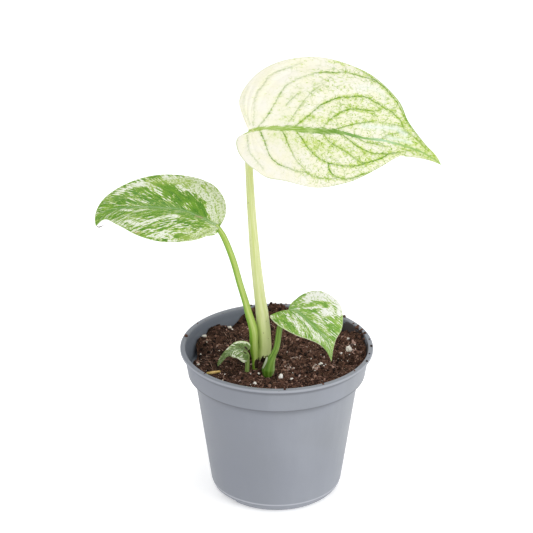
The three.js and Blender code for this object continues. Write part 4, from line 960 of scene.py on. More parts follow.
def make_sheath():
    """The torn sheath round the large stalk, with an inner wall over its open hem."""
    angle = round_angles(SHEATH_SIDES)
    rng = np.random.default_rng(5)
    tear = 0.25 * np.sin(5 * angle + 0.7) + 0.2 * np.sin(11 * angle + 2)
    tear = tear + 0.12 * rng.normal(size=SHEATH_SIDES)
    for middle, height, spread in HEM_TEETH:
        apart = (np.degrees(angle) - middle + 180) % 360 - 180
        tear = tear + height * np.exp(-(apart / spread) ** 2)
    table = np.array(SHEATH, float)
    hem_z, hem_x, hem_y, _ = table[0]
    outer = []
    for z in np.linspace(hem_z, SHEATH_TOP_Z, SHEATH_RINGS):
        x, y, radius = (np.interp(z, table[:, 0], table[:, k]) for k in (1, 2, 3))
        radius = radius - SHEATH_TAPER * max(0, z - table[-1, 0])
        share = max(0, 1 - (z - hem_z) / HEM_SPREAD)
        wave = radius * (1 + 0.015 * np.sin(9 * angle) + 0.02 * share * np.sin(4 * angle + 1))
        outer.append(level_ring(angle, wave, z + tear * share, (x, y)))
    inside = [level_ring(angle, radius, z, (hem_x, hem_y)) for z, radius in SHEATH_INSIDE]
    lip = outer[0] + ([hem_x, hem_y, 0] - outer[0]) * [0.1, 0.1, 0] + [0, 0, 0.1]
    rings = [*inside, lip, *outer]
    points = np.vstack(rings + [[[hem_x, hem_y, SHEATH_INSIDE_Z], SHEATH_CAP]])
    wrap = wrapped(np.tile(angle, len(rings)), points[:-2, 2] - STALK_FOOT_Z)
    ends = [[0, 0, z - STALK_FOOT_Z] for z in (SHEATH_INSIDE_Z, SHEATH_TOP_Z)]
    # painted shade inside, and a little on the hem's first two rings
    ring_dirt = [1] * (len(inside) + 1) + [0.45, 0.2] + [0] * (SHEATH_RINGS - 2)
    dirt = np.append(np.repeat(ring_dirt, SHEATH_SIDES), [1, 0])
    return points, ring_faces(len(rings), SHEATH_SIDES), np.vstack([wrap, ends]), dirt


def stalk_dirt(key, z, side):
    """How much soil stain and painted shade darken a stalk's points, by their height and side."""
    if key == "large":
        # painted shade: the large stalk is dark under its torn hem
        return np.clip((LARGE_SHADE_Z - z) / 2, 0, 1)
    dirt = 0.3 * np.clip((STAIN_Z - z) / 2, 0, 1)
    if key == "left":
        # the painted shade of the torn hem's hole reaches across this stalk's right side
        hole = np.clip((HOLE_SHADE_TOP_Z - z) / 2.4, 0, 1) * np.clip((z - HOLE_SHADE_FOOT_Z) / 2.5, 0, 1)
        dirt = dirt + hole * np.clip((side + 1.4) / 1.8, 0, 1)
    return dirt


for key, stalk in STALKS.items():
    along, depth = stalk["seat"]
    end = blade_form(LEAVES[key], along, 0) - depth * blade_normal(LEAVES[key], along, 0)
    points, faces, wrap = tube([*stalk["line"], end], stalk["radius"], STALK_STATIONS, STALK_SIDES, ribbed)
    parts = [with_values(points, faces, wrap, stalk_dirt(key, points[:, 2], wrap[:, 0]))]
    if key == "large":
        parts.append(with_values(*make_sheath()))
    if key == "right":
        parts.append(with_values(*tube(SKIN_STRIP, [0.5, 0.7, 0.6, 0.35], 16, 12), skin=0.85))
    make_stalk("stem_" + key, parts, STALK_MATERIALS[key], stalk["slot"], ["stalk_" + key], sharp=60)

make_stalk(
    "leaf_thread", [with_values(*tube(LEAF_THREAD, [0.2, 0.32, 0.28, 0.15], 24, 8))],
    stalk_material("dry_thread", "#6f6560", "#8a7f78", "#574d48"), "leaf_mottled",
)


# Soil: its level, then the place, height and spread of each heap or hollow
SOIL_LEVEL = 89
SOIL_HEAPS = [
    [-8, -16, 2.6, 22], [-1, 58, 9.6, 11.5], [-15, 52.5, 5.6, 8.5], [-27.5, 46.5, -5, 5],
    [-40, 37, 1.6, 9], [30, 34, 1.2, 18], [53, 21, 2.8, 5], [51, 25, 1.8, 7], [57, 8, 4.6, 15],
    [-56, 8, -9.5, 10],
]
# Its waves: how fast each turns along x and y, its phase and its height
SOIL_LUMPS = [
    [0.33, 0.21, 0.4, 0.5], [-0.24, 0.37, 1.9, 0.5], [0.61, -0.47, 2.6, 0.4], [0.52, 0.83, 0.9, 0.3],
]
# Its finer lumps: pitch, height and seed
SOIL_GRAIN = [(6, 0.5, 24), (3, 0.6, 21), (1.5, 0.45, 22), (0.7, 0.25, 23)]
SOIL_GRID = 200
SOIL_GAP = 0.4  # between the soil's hidden sides and the pot
SOIL_LIFT = 0.3  # between its hidden undersides and the pot
SOIL_EDGE_GAP = 0.35  # between its rim and the wall
SOIL_WAIST_Z = 44
SOIL_FOOT_Z = 8
SOIL_FOOT_BEVEL = 3
# The trench at the left, where the soil keeps off the wall: angles in degrees, and width
TRENCH_MIDDLE = 176
TRENCH_SPREAD = 15
TRENCH_WIDTH = 3.5


def soil_height(x, y):
    z = SOIL_LEVEL + 0 * x
    for hx, hy, height, spread in SOIL_HEAPS:
        z = z + height * np.exp(-((x - hx) ** 2 + (y - hy) ** 2) / spread ** 2)
    for kx, ky, phase, height in SOIL_LUMPS:
        z = z + height * np.sin(kx * x + ky * y + phase)
    return z


def lattice_noise(x, y, pitch, seed):
    """Smooth noise between -1 and 1 with lumps of about the pitch, in millimetres."""
    table = np.random.default_rng(seed).uniform(-1, 1, (256, 256))
    gx, gy = x / pitch + 500, y / pitch + 500
    ix, iy = np.floor(gx).astype(int), np.floor(gy).astype(int)
    fx, fy = gx - ix, gy - iy
    fx, fy = fx * fx * (3 - 2 * fx), fy * fy * (3 - 2 * fy)
    (a, b), (c, d) = ([table[(ix + m) % 256, (iy + n) % 256] for m in (0, 1)] for n in (0, 1))
    return (a * (1 - fx) + b * fx) * (1 - fy) + (c * (1 - fx) + d * fx) * fy


# Pot
POT_HEIGHT = 96.8
POT_SIDES = 240
POT_STRETCH = 4  # the longest stretch of its section in one piece
LIP_RADIUS = 60
LIP_BORE = 57
LIP_UNDER_Z = 94.2
BORE_FOOT_Z = LIP_UNDER_Z - 0.6
COLLAR_TOP_RADIUS = 57.6
COLLAR_FOOT_RADIUS = 55.3
COLLAR_FOOT_Z = 79.1
BODY_TOP_RADIUS = 51.4
BODY_FOOT_RADIUS = 41.2
BODY_FOOT_Z = 6.5
WALL = 1.2
FLOOR_UNDER_Z = 3
FLOOR_TOP_Z = 4.4
FOOT_RADIUS = 36.6
FOOT_WIDTH = 2.2
LEDGE_TOP_Z = COLLAR_FOOT_Z + WALL
# The gaps in the foot ring, and the drain holes
NOTCH_ANGLES = [-50.5, 72, 191]
NOTCH_WIDTH = 15
NOTCH_DEPTH = 8
NOTCH_HEIGHT = 3.4
DRAIN_COUNT = 6
DRAIN_RADIUS = 1.8
DRAIN_LENGTH = 8
DRAIN_RING_RADIUS = 29


def collar_inner(z):
    t = (z - COLLAR_FOOT_Z) / (LIP_UNDER_Z - COLLAR_FOOT_Z)
    return COLLAR_FOOT_RADIUS + (COLLAR_TOP_RADIUS - COLLAR_FOOT_RADIUS) * t - WALL


def body_inner(z):
    t = (z - BODY_FOOT_Z) / (COLLAR_FOOT_Z - BODY_FOOT_Z)
    return BODY_FOOT_RADIUS + (BODY_TOP_RADIUS - BODY_FOOT_RADIUS) * t - WALL


def trench_width(angle):
    """How far the soil keeps off the wall at the left, where the ledge shows."""
    degrees = np.degrees(angle) % 360
    return TRENCH_WIDTH * np.exp(-((degrees - TRENCH_MIDDLE) / TRENCH_SPREAD) ** 4)


def soil_edge(angle):
    """Where the soil meets the pot's wall."""
    radius = collar_inner(SOIL_LEVEL)
    z = soil_height(radius * np.cos(angle), radius * np.sin(angle)) - 0.6
    wall = collar_inner(np.clip(z, LEDGE_TOP_Z, BORE_FOOT_Z))
    return wall - SOIL_EDGE_GAP - trench_width(angle)


def soil_surface(x, y):
    z = soil_height(x, y)
    for pitch, height, seed in SOIL_GRAIN:
        z = z + height * lattice_noise(x, y, pitch, seed)
    return np.maximum(z, LEDGE_TOP_Z + 1)


def disc_grid(n):
    """A square grid of places drawn out to a unit disc, so that its cells stay even."""
    a, b = np.meshgrid(np.linspace(-1, 1, n), np.linspace(-1, 1, n), indexing="ij")
    steep = abs(a) > abs(b)
    far, other = np.where(steep, (a, b), (b, a))
    turn = np.pi / 4 * other / np.where(far == 0, 1, far)
    p, q = far * np.cos(turn), far * np.sin(turn)
    return np.where(steep, (p, q), (q, p))


def make_soil():
    """The soil's lumpy top, closed by rings that follow the pot's inside down to its floor."""
    grid = disc_grid(SOIL_GRID)
    x, y = grid * soil_edge(np.arctan2(grid[1], grid[0]))
    top = np.stack([x, y, soil_surface(x, y)], -1).reshape(-1, 3)
    index = np.arange(len(top)).reshape(SOIL_GRID, SOIL_GRID)
    corners = [index[:-1, :-1], index[1:, :-1], index[1:, 1:], index[:-1, 1:]]
    faces = np.stack(corners, -1).reshape(-1, 4).tolist()
    above = np.concatenate([index[:-1, 0], index[-1, :-1], index[:0:-1, -1], index[0, :0:-1]])
    angle = np.arctan2(top[above, 1], top[above, 0])
    ledge_z = LEDGE_TOP_Z + SOIL_LIFT
    floor_z = FLOOR_TOP_Z + SOIL_LIFT
    rings = [
        (ledge_z, collar_inner(LEDGE_TOP_Z) - SOIL_GAP - trench_width(angle)),
        *((z, body_inner(z) - SOIL_GAP) for z in (ledge_z, SOIL_WAIST_Z, SOIL_FOOT_Z)),
        (floor_z, body_inner(SOIL_FOOT_Z) - SOIL_FOOT_BEVEL),
    ]
    count = len(top)
    for _ in rings:
        below = count + np.arange(len(angle))
        faces += np.stack([above, below, np.roll(below, -1), np.roll(above, -1)], -1).tolist()
        above = below
        count += len(angle)
    faces += np.stack([np.full(len(angle), count), np.roll(above, -1), above], -1).tolist()
    sides = [level_ring(angle, radius, z) for z, radius in rings]
    return np.vstack([top, *sides, [[0, 0, floor_z]]]), faces


def soil_material():
    g = Graph("peat_soil", Roughness=0.95, Specular_IOR_Level=0.2)
    place = g.place()
    crumb = g.noise(place, 700, 4, 0.7)
    grain = g.noise(place, 1900, 3, 0.7)
    g.tone = g.mix(g.step(g.noise(place, 120, 4, 0.6), 0.38, 0.62), "#26180f", "#573c30")
    g.paint(g.step(crumb, 0.48, 0.66), "#785747")
    g.paint(g.times(g.step(grain, 0.6, 0.7), 0.7), "#a08273")
    # painted shade on the left
    g.paint(g.step(g.split(place)[0], -0.045, -0.01, 0.45, 0), "#23170f")
    g.bump(g.plus(crumb, g.times(grain, 0.5)), 0.8, 0.0008)
    return g.finish()


make_piece("soil_bed", *make_soil(), soil_material(), "soil", ["potting_soil"])

# The hues of the loose bits, each from dark to light
CRUMB_STOPS = ["#1e130e", "#452e24", "#6b4c3f", "#a07e6d"]
FIBRE_STOPS = ["#2b1d16", "#59412f", "#8a6a5a", "#b7998a"]
BARK_STOPS = ["#5b4036", "#8a6a5c", "#b7968a", "#e6d8d0"]
PERLITE_STOPS = ["#b9ab9c", "#d8cfc2", "#efeae0", "#fbf9f4"]
# Crumbs and dust that sit on the lip: place and size
LIP_CRUMBS = [
    (-56.7, 12.5, 1.0), (58.9, -1, 0.8), (55.4, -21.3, 0.65), (28.0, -51.6, 0.7), (43.1, 40.3, 1.0),
    (42, 41.5, 0.7), (50.6, 24.6, 1.2), (52.6, 19.6, 1.0), (53.6, 15, 0.9), (51.6, 27.2, 0.8),
    (48.6, 30.6, 0.6), (54.6, 9, 0.7), (4.8, -58.4, 0.9), (-16.3, 56, 0.8), (-12.5, 57.0, 0.6),
    (-0.9, 57.4, 0.7), (2.9, 58.4, 0.7), (6.2, 58.2, 0.6), (53.5, 22.0, 0.7), (57.9, 8.5, 0.6),
    (55.5, 17.0, 0.8), (31, 49.3, 0.5), (-44, -38.2, 0.5), (47.5, -34, 0.5), (-50, 30.2, 0.5),
    (57.4, -11, 0.5),
]
# The larger flakes of bark, the two bark chips among them: place and size
BARK_CHIPS = [
    (48.2, 10.2, 1.9), (41.9, 23.6, 1.5), (47.7, -1, 1.4), (35.4, -16.5, 1.0), (24.1, -16.9, 1.1),
    (48.9, 1.6, 1.1), (-48.9, -9.5, 1.0), (13.2, 20.8, 1.0), (-0.7, -44.2, 1.0), (-31.8, 34.6, 1.0),
]
# Lumps of soil that are dotted with pale flakes
FLAKY_CLODS = [[8, -17], [24.8, -14.2], [47.2, 9], [12, -4.9]]
CLOD_FLAKES = 16
# The larger grains of perlite, the solid ones among them: place and size
PERLITE = [
    (45.2, 5.2, 2.2), (2.3, -33, 1.4), (9.1, -32, 1.2), (-13.4, -38.2, 1.3), (27.3, -11.2, 1.4),
    (-30, 42.3, 1.3), (-45.6, 26.8, 1.2), (44.9, 19.8, 0.9), (-28.0, 38.8, 0.7), (-47.5, 11.4, 0.7),
    (-10.9, -27.5, 0.7), (-18.6, -40, 0.7), (40.5, 1.5, 0.8), (-48.5, -12, 0.8),
]
# The places of the bit of straw at the front left
STRAW = [(-43, -26.2), (-39, -25.4), (-34.8, -23.9)]
# Fibres: how many, the range of their length and radius, their lift, and how far out they may reach
FIBRE_COUNT = 420
FIBRE_LENGTH = (1.5, 5.5)
FIBRE_RADIUS = (0.1, 0.22)
FIBRE_LIFT = 0.3
FIBRE_LIMIT = 54.5
# Crumbs on the heap at the back: how many, and how far out they may lie
HEAP_COUNT = 150
HEAP_LIMIT = 55.5


def tone_material(name, stops, roughness, grain_scale, depth, patches_and_shade=0):
    """A colour picked along a few stops by each bit's own tone, broken up by fine grain.

    Broad noise makes wide lighter and darker areas, and painted shade darkens the left.
    """
    g = Graph(name, Roughness=roughness, Specular_IOR_Level=0.25)
    place = g.place()
    grain = g.noise(place, grain_scale, 4, 0.65)
    shifted = g.sway(g.attribute("tone"), grain, 0.5)
    if patches_and_shade:
        shifted = g.sway(shifted, g.noise(place, 110, 3, 0.6), patches_and_shade)
        # painted shade on the left
        shifted = g.plus(shifted, g.step(g.split(place)[0], -0.045, -0.01, -0.16, 0))
    g.tone = g.ramp(shifted, list(zip(np.linspace(0, 1, len(stops)).tolist(), stops)))
    g.bump(grain, 0.7, depth)
    return g.finish()


def ball(detail):
    """A unit icosphere's points and faces."""
    shape = bmesh.new()
    bmesh.ops.create_icosphere(shape, subdivisions=detail, radius=1)
    points = np.array([v.co for v in shape.verts])
    faces = [[v.index for v in f.verts] for f in shape.faces]
    shape.free()
    return points, faces


def turned(rng):
    """A random rotation matrix."""
    w, x, y, z = unit(rng.normal(size=4))
    return np.array([
        [1 - 2 * (y * y + z * z), 2 * (x * y - z * w), 2 * (x * z + y * w)],
        [2 * (x * y + z * w), 1 - 2 * (x * x + z * z), 2 * (y * z - x * w)],
        [2 * (x * z - y * w), 2 * (y * z + x * w), 1 - 2 * (x * x + y * y)],
    ])


def scatter(rng, count, reach, gap):
    """Places all over the soil, to a share of its edge, that keep the gap from every stem: x and y."""
    angle = rng.uniform(0, 2 * np.pi, count)
    radius = soil_edge(angle) * reach * np.sqrt(rng.uniform(0, 1, count))
    x, y = radius * np.cos(angle), radius * np.sin(angle)
    feet = np.array([stalk["line"][1][:2] for stalk in STALKS.values()])
    clear = np.hypot(x[:, None] - feet[:, 0], y[:, None] - feet[:, 1]).min(1) > gap
    return x[clear], y[clear]


def bits(rng, places, sizes, stretch, detail, rough, tones, sink=0.2, lumps=0.0):
    """Small lumps at the places, given as x, y and z: points, faces and each point's tone.

    Sink is the share of a lump's size by which it lies deeper, rough the size of its bumps.
    """
    base, faces = ball(detail)
    parts = []
    for (x, y, z), size, tone in zip(np.transpose(places), sizes, tones):
        swell = np.sin(2.4 * base @ rng.normal(size=(3, 3)) + rng.uniform(0, 6, 3)).sum(1, keepdims=True)
        shape = base * (1 + lumps * swell + rough * rng.normal(size=(len(base), 1)))
        shape = (shape * (stretch * rng.uniform(0.75, 1.25, 3))) @ turned(rng).T * size
        shape = shape + [x, y, z + size * (0.5 - sink)]
        parts.append((shape, faces, np.full(len(base), tone)))
    return join(parts)


def make_bits(name, slot, material, parts, nodes=()):
    points, faces, tone = parts
    return make_piece(name, points, faces, material, slot, nodes, tone=tone)


def crumb_cloud(seed, count, small, large, detail, power):
    """Crumbs all over the soil, more of them small where the power is high."""
    rng = np.random.default_rng(seed)
    x, y = scatter(rng, count, reach=0.985, gap=3.5)
    sizes = small + (large - small) * rng.uniform(0, 1, len(x)) ** power
    tones = rng.uniform(0, 1, len(x)) ** 1.5
    return bits(rng, (x, y, soil_surface(x, y)), sizes, (1.2, 1, 0.8), detail, 0.22, tones)


def loose_crumbs():
    """The crumbs on the lip, and crumbs piled on the heap at the back."""
    rng = np.random.default_rng(43)
    x, y, sizes = np.array(LIP_CRUMBS).T
    tones = rng.uniform(0.1, 0.7, len(x))
    lip = bits(rng, (x, y, 0 * x + POT_HEIGHT - 0.1), sizes, (1.15, 1, 0.85), 2, 0.12, tones)
    x = rng.normal(-2, 8, HEAP_COUNT)
    y = rng.uniform(45, 56, HEAP_COUNT)
    inside = np.hypot(x, y) < HEAP_LIMIT
    x, y = x[inside], y[inside]
    z = soil_surface(x, y) + rng.uniform(-0.3, 0.5, len(x))
    sizes = 0.5 + 0.9 * rng.uniform(0, 1, len(x)) ** 2
    tones = rng.uniform(0, 0.9, len(x))
    return join([lip, bits(rng, (x, y, z), sizes, (1.2, 1, 0.9), 1, 0.16, tones)])


def soil_fibres():
    rng = np.random.default_rng(47)
    parts = []
    for a, b in zip(*scatter(rng, FIBRE_COUNT, reach=0.96, gap=4)):
        turn = rng.uniform(0, 2 * np.pi)
        bend = rng.normal(0, 0.25)
        size = rng.uniform(*FIBRE_LENGTH)
        steps = np.linspace(-0.5, 0.5, 4) * size
        heading = turn + bend * steps / size * 2
        x = a + steps * np.cos(heading)
        y = b + steps * np.sin(heading)
        if np.hypot(x, y).max() >= FIBRE_LIMIT:
            continue
        z = soil_surface(x, y) + FIBRE_LIFT + rng.uniform(-0.1, 0.5, 4)
        thick = rng.uniform(*FIBRE_RADIUS)
        radii = [0.6 * thick, thick, thick, 0.5 * thick]
        points, faces, _ = tube(np.stack([x, y, z], -1), radii, 6, 4)
        parts.append((points, faces, np.full(len(points), rng.uniform(0, 1))))
    return join(parts)


def bark_flakes():
    """Pale and brown flakes: the larger ones, then scattered ones, then those on the clods."""
    rng = np.random.default_rng(53)
    x, y = scatter(rng, 240, reach=0.96, gap=4)
    clods = np.repeat(FLAKY_CLODS, CLOD_FLAKES, axis=0).T
    clod_x, clod_y = clods + rng.normal(0, 1.6, clods.shape)
    chip_x, chip_y, chip_sizes = np.array(BARK_CHIPS).T
    small = 0.3 + 0.55 * rng.uniform(0, 1, len(x)) ** 2
    sizes = np.concatenate([chip_sizes, small, rng.uniform(0.3, 0.65, len(clod_x))])
    tones = [np.full(len(chip_x), 0.62), rng.uniform(0, 0.8, len(x)), rng.uniform(0.7, 1.15, len(clod_x))]
    x, y = np.concatenate([chip_x, x, clod_x]), np.concatenate([chip_y, y, clod_y])
    places = (x, y, soil_surface(x, y) + 0.2)
    return bits(rng, places, sizes, (1.5, 0.8, 0.4), 2, 0.1, np.concatenate(tones), lumps=0.14)


def perlite_grains():
    """The larger grains, then scattered small ones."""
    rng = np.random.default_rng(61)
    x, y = scatter(rng, 70, reach=0.95, gap=5)
    grain_x, grain_y, grain_sizes = np.array(PERLITE).T
    sizes = np.concatenate([grain_sizes, 0.2 + 0.3 * rng.uniform(0, 1, len(x)) ** 2])
    tones = np.concatenate([rng.uniform(0.6, 1, len(PERLITE)), rng.uniform(0.2, 1, len(x))])
    x, y = np.concatenate([grain_x, x]), np.concatenate([grain_y, y])
    places = (x, y, soil_surface(x, y))
    return bits(rng, places, sizes, (1.05, 0.95, 0.85), 3, 0.04, tones, sink=0.1, lumps=0.13)


def straw_material():
    g = Graph("straw", Roughness=0.7, Specular_IOR_Level=0.3)
    wrap = g.attribute("wrap", "Vector")
    grain = g.noise(g.scaled(wrap, 1, 1, 0.12), 1.1, 4, 0.6)
    g.tone = g.mix(g.step(grain, 0.35, 0.65), "#b98f4a", "#d9bc7c")
    g.paint(g.step(g.noise(wrap, 0.35), 0.5, 0.7), "#8e8a3e")
    g.bump(grain, 0.6, 0.0004)
    return g.finish()


def knobbly(t, angle):
    return 1 + 0.08 * np.sin(3 * angle + 5 * t) + 0.05 * np.sin(23 * t)


make_bits("soil_crumbs", "soil", tone_material("soil_crumb", CRUMB_STOPS, 0.95, 900, 0.0005, 2),
          crumb_cloud(seed=31, count=1500, small=0.35, large=1.0, detail=2, power=2.2))
make_bits("soil_grit", "soil", tone_material("soil_grit_tone", CRUMB_STOPS, 0.95, 1200, 0.0003, 2),
          crumb_cloud(seed=37, count=5200, small=0.18, large=0.5, detail=1, power=1.2))
make_bits("loose_crumbs", "soil", tone_material("loose_crumb", CRUMB_STOPS, 0.95, 900, 0.0005),
          loose_crumbs())
make_bits("soil_fibres", "soil", tone_material("soil_fibre", FIBRE_STOPS, 0.85, 700, 0.0003),
          soil_fibres())
make_bits("bark_flakes", "bark", tone_material("bark_flake", BARK_STOPS, 0.9, 600, 0.0005),
          bark_flakes(), ["bark_chip_01", "bark_chip_02"])
make_bits("perlite_grains", "perlite", tone_material("perlite_grain", PERLITE_STOPS, 0.9, 800, 0.0006),
          perlite_grains(), ["perlite_%02d" % k for k in range(1, 8)])

x, y = np.array(STRAW).T
straw = tube(np.stack([x, y, soil_height(x, y) + 0.8], -1), [0.8, 1.0, 0.75], 40, 20, knobbly)
make_piece("straw", *straw[:2], straw_material(), "straw", ["straw_bit"], sharp=60, wrap=straw[2])


def pot_profile():
    """The pot's section, from the nub under its floor round the outside to the floor's top."""
    under = LIP_UNDER_Z
    corner = BODY_FOOT_Z + 1.5
    return [
        (6, 0), (6.5, FLOOR_UNDER_Z), (FOOT_RADIUS - FOOT_WIDTH - 0.4, FLOOR_UNDER_Z),
        (FOOT_RADIUS - FOOT_WIDTH, 0), (FOOT_RADIUS, 0), (FOOT_RADIUS + 1.8, 1.4), (FOOT_RADIUS + 3.2, 3),
        (BODY_FOOT_RADIUS - 0.5, 4.8), (BODY_FOOT_RADIUS, BODY_FOOT_Z), (BODY_TOP_RADIUS, COLLAR_FOOT_Z),
        (COLLAR_FOOT_RADIUS - 0.4, COLLAR_FOOT_Z), (COLLAR_FOOT_RADIUS, COLLAR_FOOT_Z + 0.5),
        (COLLAR_TOP_RADIUS, under), (LIP_RADIUS - 0.6, under + 0.3), (LIP_RADIUS, under + 0.9),
        (LIP_RADIUS, POT_HEIGHT - 0.7), (LIP_RADIUS - 0.2, POT_HEIGHT - 0.2), (LIP_RADIUS - 0.7, POT_HEIGHT),
        (LIP_BORE + 0.6, POT_HEIGHT), (LIP_BORE + 0.15, POT_HEIGHT - 0.2), (LIP_BORE, POT_HEIGHT - 0.6),
        (collar_inner(under), BORE_FOOT_Z), (collar_inner(LEDGE_TOP_Z), LEDGE_TOP_Z),
        (body_inner(LEDGE_TOP_Z), LEDGE_TOP_Z), (body_inner(corner), corner),
        (body_inner(corner) - 2.2, FLOOR_TOP_Z),
    ]


def make_pot():
    """The section turned round, its long stretches cut up so that shading stays even."""
    profile = pot_profile()
    dense = [profile[0]]
    for (r0, z0), (r1, z1) in zip(profile, profile[1:]):
        count = max(1, int(math.hypot(r1 - r0, z1 - z0) / POT_STRETCH))
        dense += [(r0 + (r1 - r0) * k / count, z0 + (z1 - z0) * k / count) for k in range(1, count + 1)]
    angle = round_angles(POT_SIDES)
    points = np.vstack([level_ring(angle, r, z) for r, z in dense] + [[[0, 0, 0], [0, 0, FLOOR_TOP_Z]]])
    return points, ring_faces(len(dense), POT_SIDES)


def cut(piece, tools):
    """Takes the tools' forms out of the piece, and then the tools out of the scene."""
    for tool in tools:
        step = piece.modifiers.new("cut", "BOOLEAN")
        step.operation = "DIFFERENCE"
        step.solver = "EXACT"
        step.object = tool
    graph = bpy.context.evaluated_depsgraph_get()
    mesh = bpy.data.meshes.new_from_object(piece.evaluated_get(graph))
    piece.modifiers.clear()
    old = piece.data
    piece.data = mesh
    bpy.data.meshes.remove(old)
    for tool in tools:
        bpy.data.objects.remove(tool, do_unlink=True)
    mesh.name = piece.name


def make_tool(points, faces):
    mesh = bpy.data.meshes.new("tool")
    mesh.from_pydata((np.asarray(points) * MM).tolist(), [], faces)
    return add_object("tool", mesh)


def notch_tool(degrees):
    """A box over the foot ring at the angle."""
    corners = np.array([(x, y, z) for x in (-1, 1) for y in (-1, 1) for z in (-1, 1)])
    x, y, z = (corners * [NOTCH_WIDTH / 2, NOTCH_DEPTH / 2, NOTCH_HEIGHT]).T
    y = y - FOOT_RADIUS - 1
    turn = math.radians(degrees)
    spun = [x * math.cos(turn) - y * math.sin(turn), x * math.sin(turn) + y * math.cos(turn), z]
    faces = [[0, 1, 3, 2], [4, 6, 7, 5], [0, 4, 5, 1], [2, 3, 7, 6], [0, 2, 6, 4], [1, 5, 7, 3]]
    return make_tool(np.transpose(spun), faces)


def drain_tool(k):
    """A rod through the floor, where the drain hole with the number k is."""
    turn = 2 * math.pi * (k + 0.5) / DRAIN_COUNT - math.pi / 2
    foot = np.array([DRAIN_RING_RADIUS * math.cos(turn), DRAIN_RING_RADIUS * math.sin(turn), 0])
    points, faces, _ = tube([foot, foot + [0, 0, DRAIN_LENGTH]], [DRAIN_RADIUS, DRAIN_RADIUS], 2, 24)
    return make_tool(points, faces)


# Lines round the pot, of painted shade under the lip and the collar and of painted highlight on the lip and
# round the foot: the heights where each begins, is full, fades and ends, share and colour
POT_SHADE_AND_HIGHLIGHT_LINES = [
    (91.2, 92.6, 93.8, 94.5, 0.5, "#55585f"),
    (78.8, 79.1, 79.9, 80.8, 0.6, "#4c4f56"),
    (73.5, 77.5, 78.8, 79, 0.3, "#55585f"),
    (5, 5.6, 6, 6.6, 0.5, "#ccced6"),
    (94.9, 95.5, 96.2, 96.6, 0.35, "#b9bcc4"),
]


def pot_material():
    g = Graph("pot_plastic", Specular_IOR_Level=0.4)
    place = g.place()
    x, y, up = g.split(place)
    flow = g.noise(g.scaled(place, 1, 1, 0.12), 60, 4)
    cloud = g.noise(place, 28, 4, 0.5)
    g.tone = g.mix(g.step(cloud, 0.3, 0.7), "#878b92", "#8d919a")
    g.paint(g.times(g.step(flow, 0.45, 0.7), 0.25), "#9b9fa7")
    # painted light: paler towards the foot, and painted shade on the left side
    g.paint(g.step(up, 0, 0.03, 0.2, 0), "#acb0b9")
    g.paint(g.step(x, -0.055, 0.04, 0.7, 0), "#767a84")
    # painted shade under the lip and the collar, and painted highlights round the foot and on the lip's top
    for low, full, fall, high, share, code in POT_SHADE_AND_HIGHLIGHT_LINES:
        rise = g.step(up, low * MM, full * MM, 0, share)
        g.paint(g.times(rise, g.step(up, fall * MM, high * MM, 1, 0)), code)
    # painted shade: the wall inside the collar is painted a darker slate
    across = g.math("SQRT", g.plus(g.math("POWER", x, 2), g.math("POWER", y, 2)))
    slope = (COLLAR_TOP_RADIUS - COLLAR_FOOT_RADIUS) / (LIP_UNDER_Z - COLLAR_FOOT_Z)
    skin = g.math("SUBTRACT", across, g.times(up, slope))
    middle = (COLLAR_FOOT_RADIUS - slope * COLLAR_FOOT_Z - WALL / 2) * MM
    inner = g.times(
        g.step(skin, middle - 0.0001, middle + 0.0001, 1, 0),
        g.step(up, COLLAR_FOOT_Z * MM, LEDGE_TOP_Z * MM),
        g.step(up, (POT_HEIGHT - 1) * MM, (POT_HEIGHT - 0.4) * MM, 0.8, 0),
    )
    g.paint(inner, "#757c89")
    # soil smeared up the inside on the right, and dust rubbed on the lip
    smear = g.plus(g.noise(place, 260, 4, 0.65), g.step(x, 0.03, 0.05, -0.5, 0))
    smear = g.plus(smear, g.step(up, 0.088, 0.096, 0.2, 0.03))
    g.paint(g.times(inner, g.step(smear, 0.42, 0.5)), "#3a2b24")
    dust = g.step(g.noise(place, 420, 3, 0.7), 0.62, 0.7)
    g.paint(g.times(g.step(up, 0.0945, 0.0966), dust, 0.5), "#5f5148")
    g.bump(g.plus(g.noise(place, 1400, 3, 0.6), g.times(flow, 0.7)), 0.12, 0.0005)
    return g.finish(g.step(cloud, 0.3, 0.7, 0.42, 0.56))


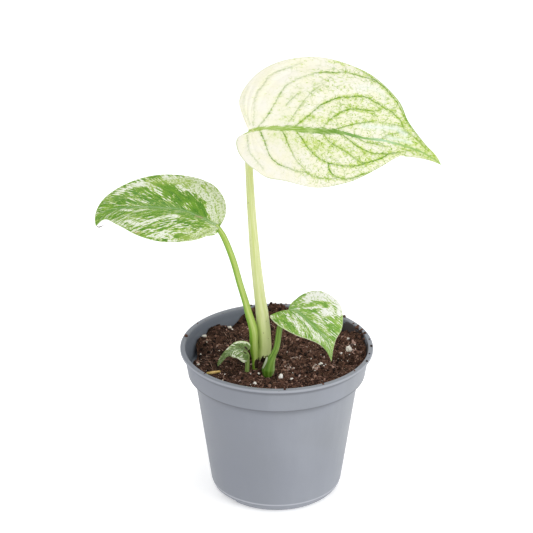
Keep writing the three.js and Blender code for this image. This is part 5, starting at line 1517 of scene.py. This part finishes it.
pot = make_piece("nursery_pot", *make_pot(), pot_material(), "pot_plastic", ["pot"])
cut(pot, [notch_tool(turn) for turn in NOTCH_ANGLES] + [drain_tool(k) for k in range(DRAIN_COUNT)])
shade_smooth(pot.data, 28)


def root_material():
    g = Graph("root_skin", Roughness=0.8)
    place = g.place()
    g.tone = g.mix(g.step(g.noise(place, 300, 4, 0.6), 0.35, 0.65), "#8d7650", "#b8a27a")
    g.bump(g.noise(place, 900), 0.5, 0.0005)
    return g.finish()


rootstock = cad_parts["rootstock"]
rootstock.data.materials.clear()
rootstock.data.materials.append(root_material())

# Floor, world and lights, in metres
FLOOR_REACH = 4.0
LIGHT_SIZE = 0.9
LIGHT_TARGET = (0, 0, 0.12)
LIGHTS = [
    ("key_light", (1.15, -0.8, 1.25), 6.8),
    ("fill_light", (-0.6, -1.2, 0.9), 1.0),
    ("top_light", (0.1, 0.4, 1.6), 1.2),
]


def floor_material():
    g = Graph("floor_paper", Roughness=0.9, Specular_IOR_Level=0.1,
              Emission_Color=(1, 1, 1, 1), Emission_Strength=0.35)
    g.tone = g.mix(g.noise(g.place(), 3, 2), "#fafafa", "#fdfdfd")
    return g.finish()


corners = [(-1, -1), (1, -1), (1, 1), (-1, 1)]
floor_mesh = bpy.data.meshes.new("floor")
floor_mesh.from_pydata([(x * FLOOR_REACH, y * FLOOR_REACH, 0) for x, y in corners], [], [[0, 1, 2, 3]])
floor_mesh.materials.append(floor_material())
floor = add_object("floor", floor_mesh)

world = bpy.data.worlds.new("studio")
bpy.context.scene.world = world
world.use_nodes = True
backdrop = world.node_tree.nodes["Background"]
backdrop.inputs["Color"].default_value = (1, 1, 1, 1)
backdrop.inputs["Strength"].default_value = 0.86

for name, place, power in LIGHTS:
    data = bpy.data.lights.new(name, "AREA")
    data.shape = "SQUARE"
    data.size = LIGHT_SIZE
    data.energy = power
    back = unit(np.array(place, float) - np.array(LIGHT_TARGET, float))
    right = unit(np.cross([0, 0, 1.0], back))
    add_object(name, data).matrix_world = facing(right, np.cross(back, right), back, place)

view = bpy.context.scene.view_settings
view.view_transform = "Standard"
view.look = "None"
view.exposure = 0.0
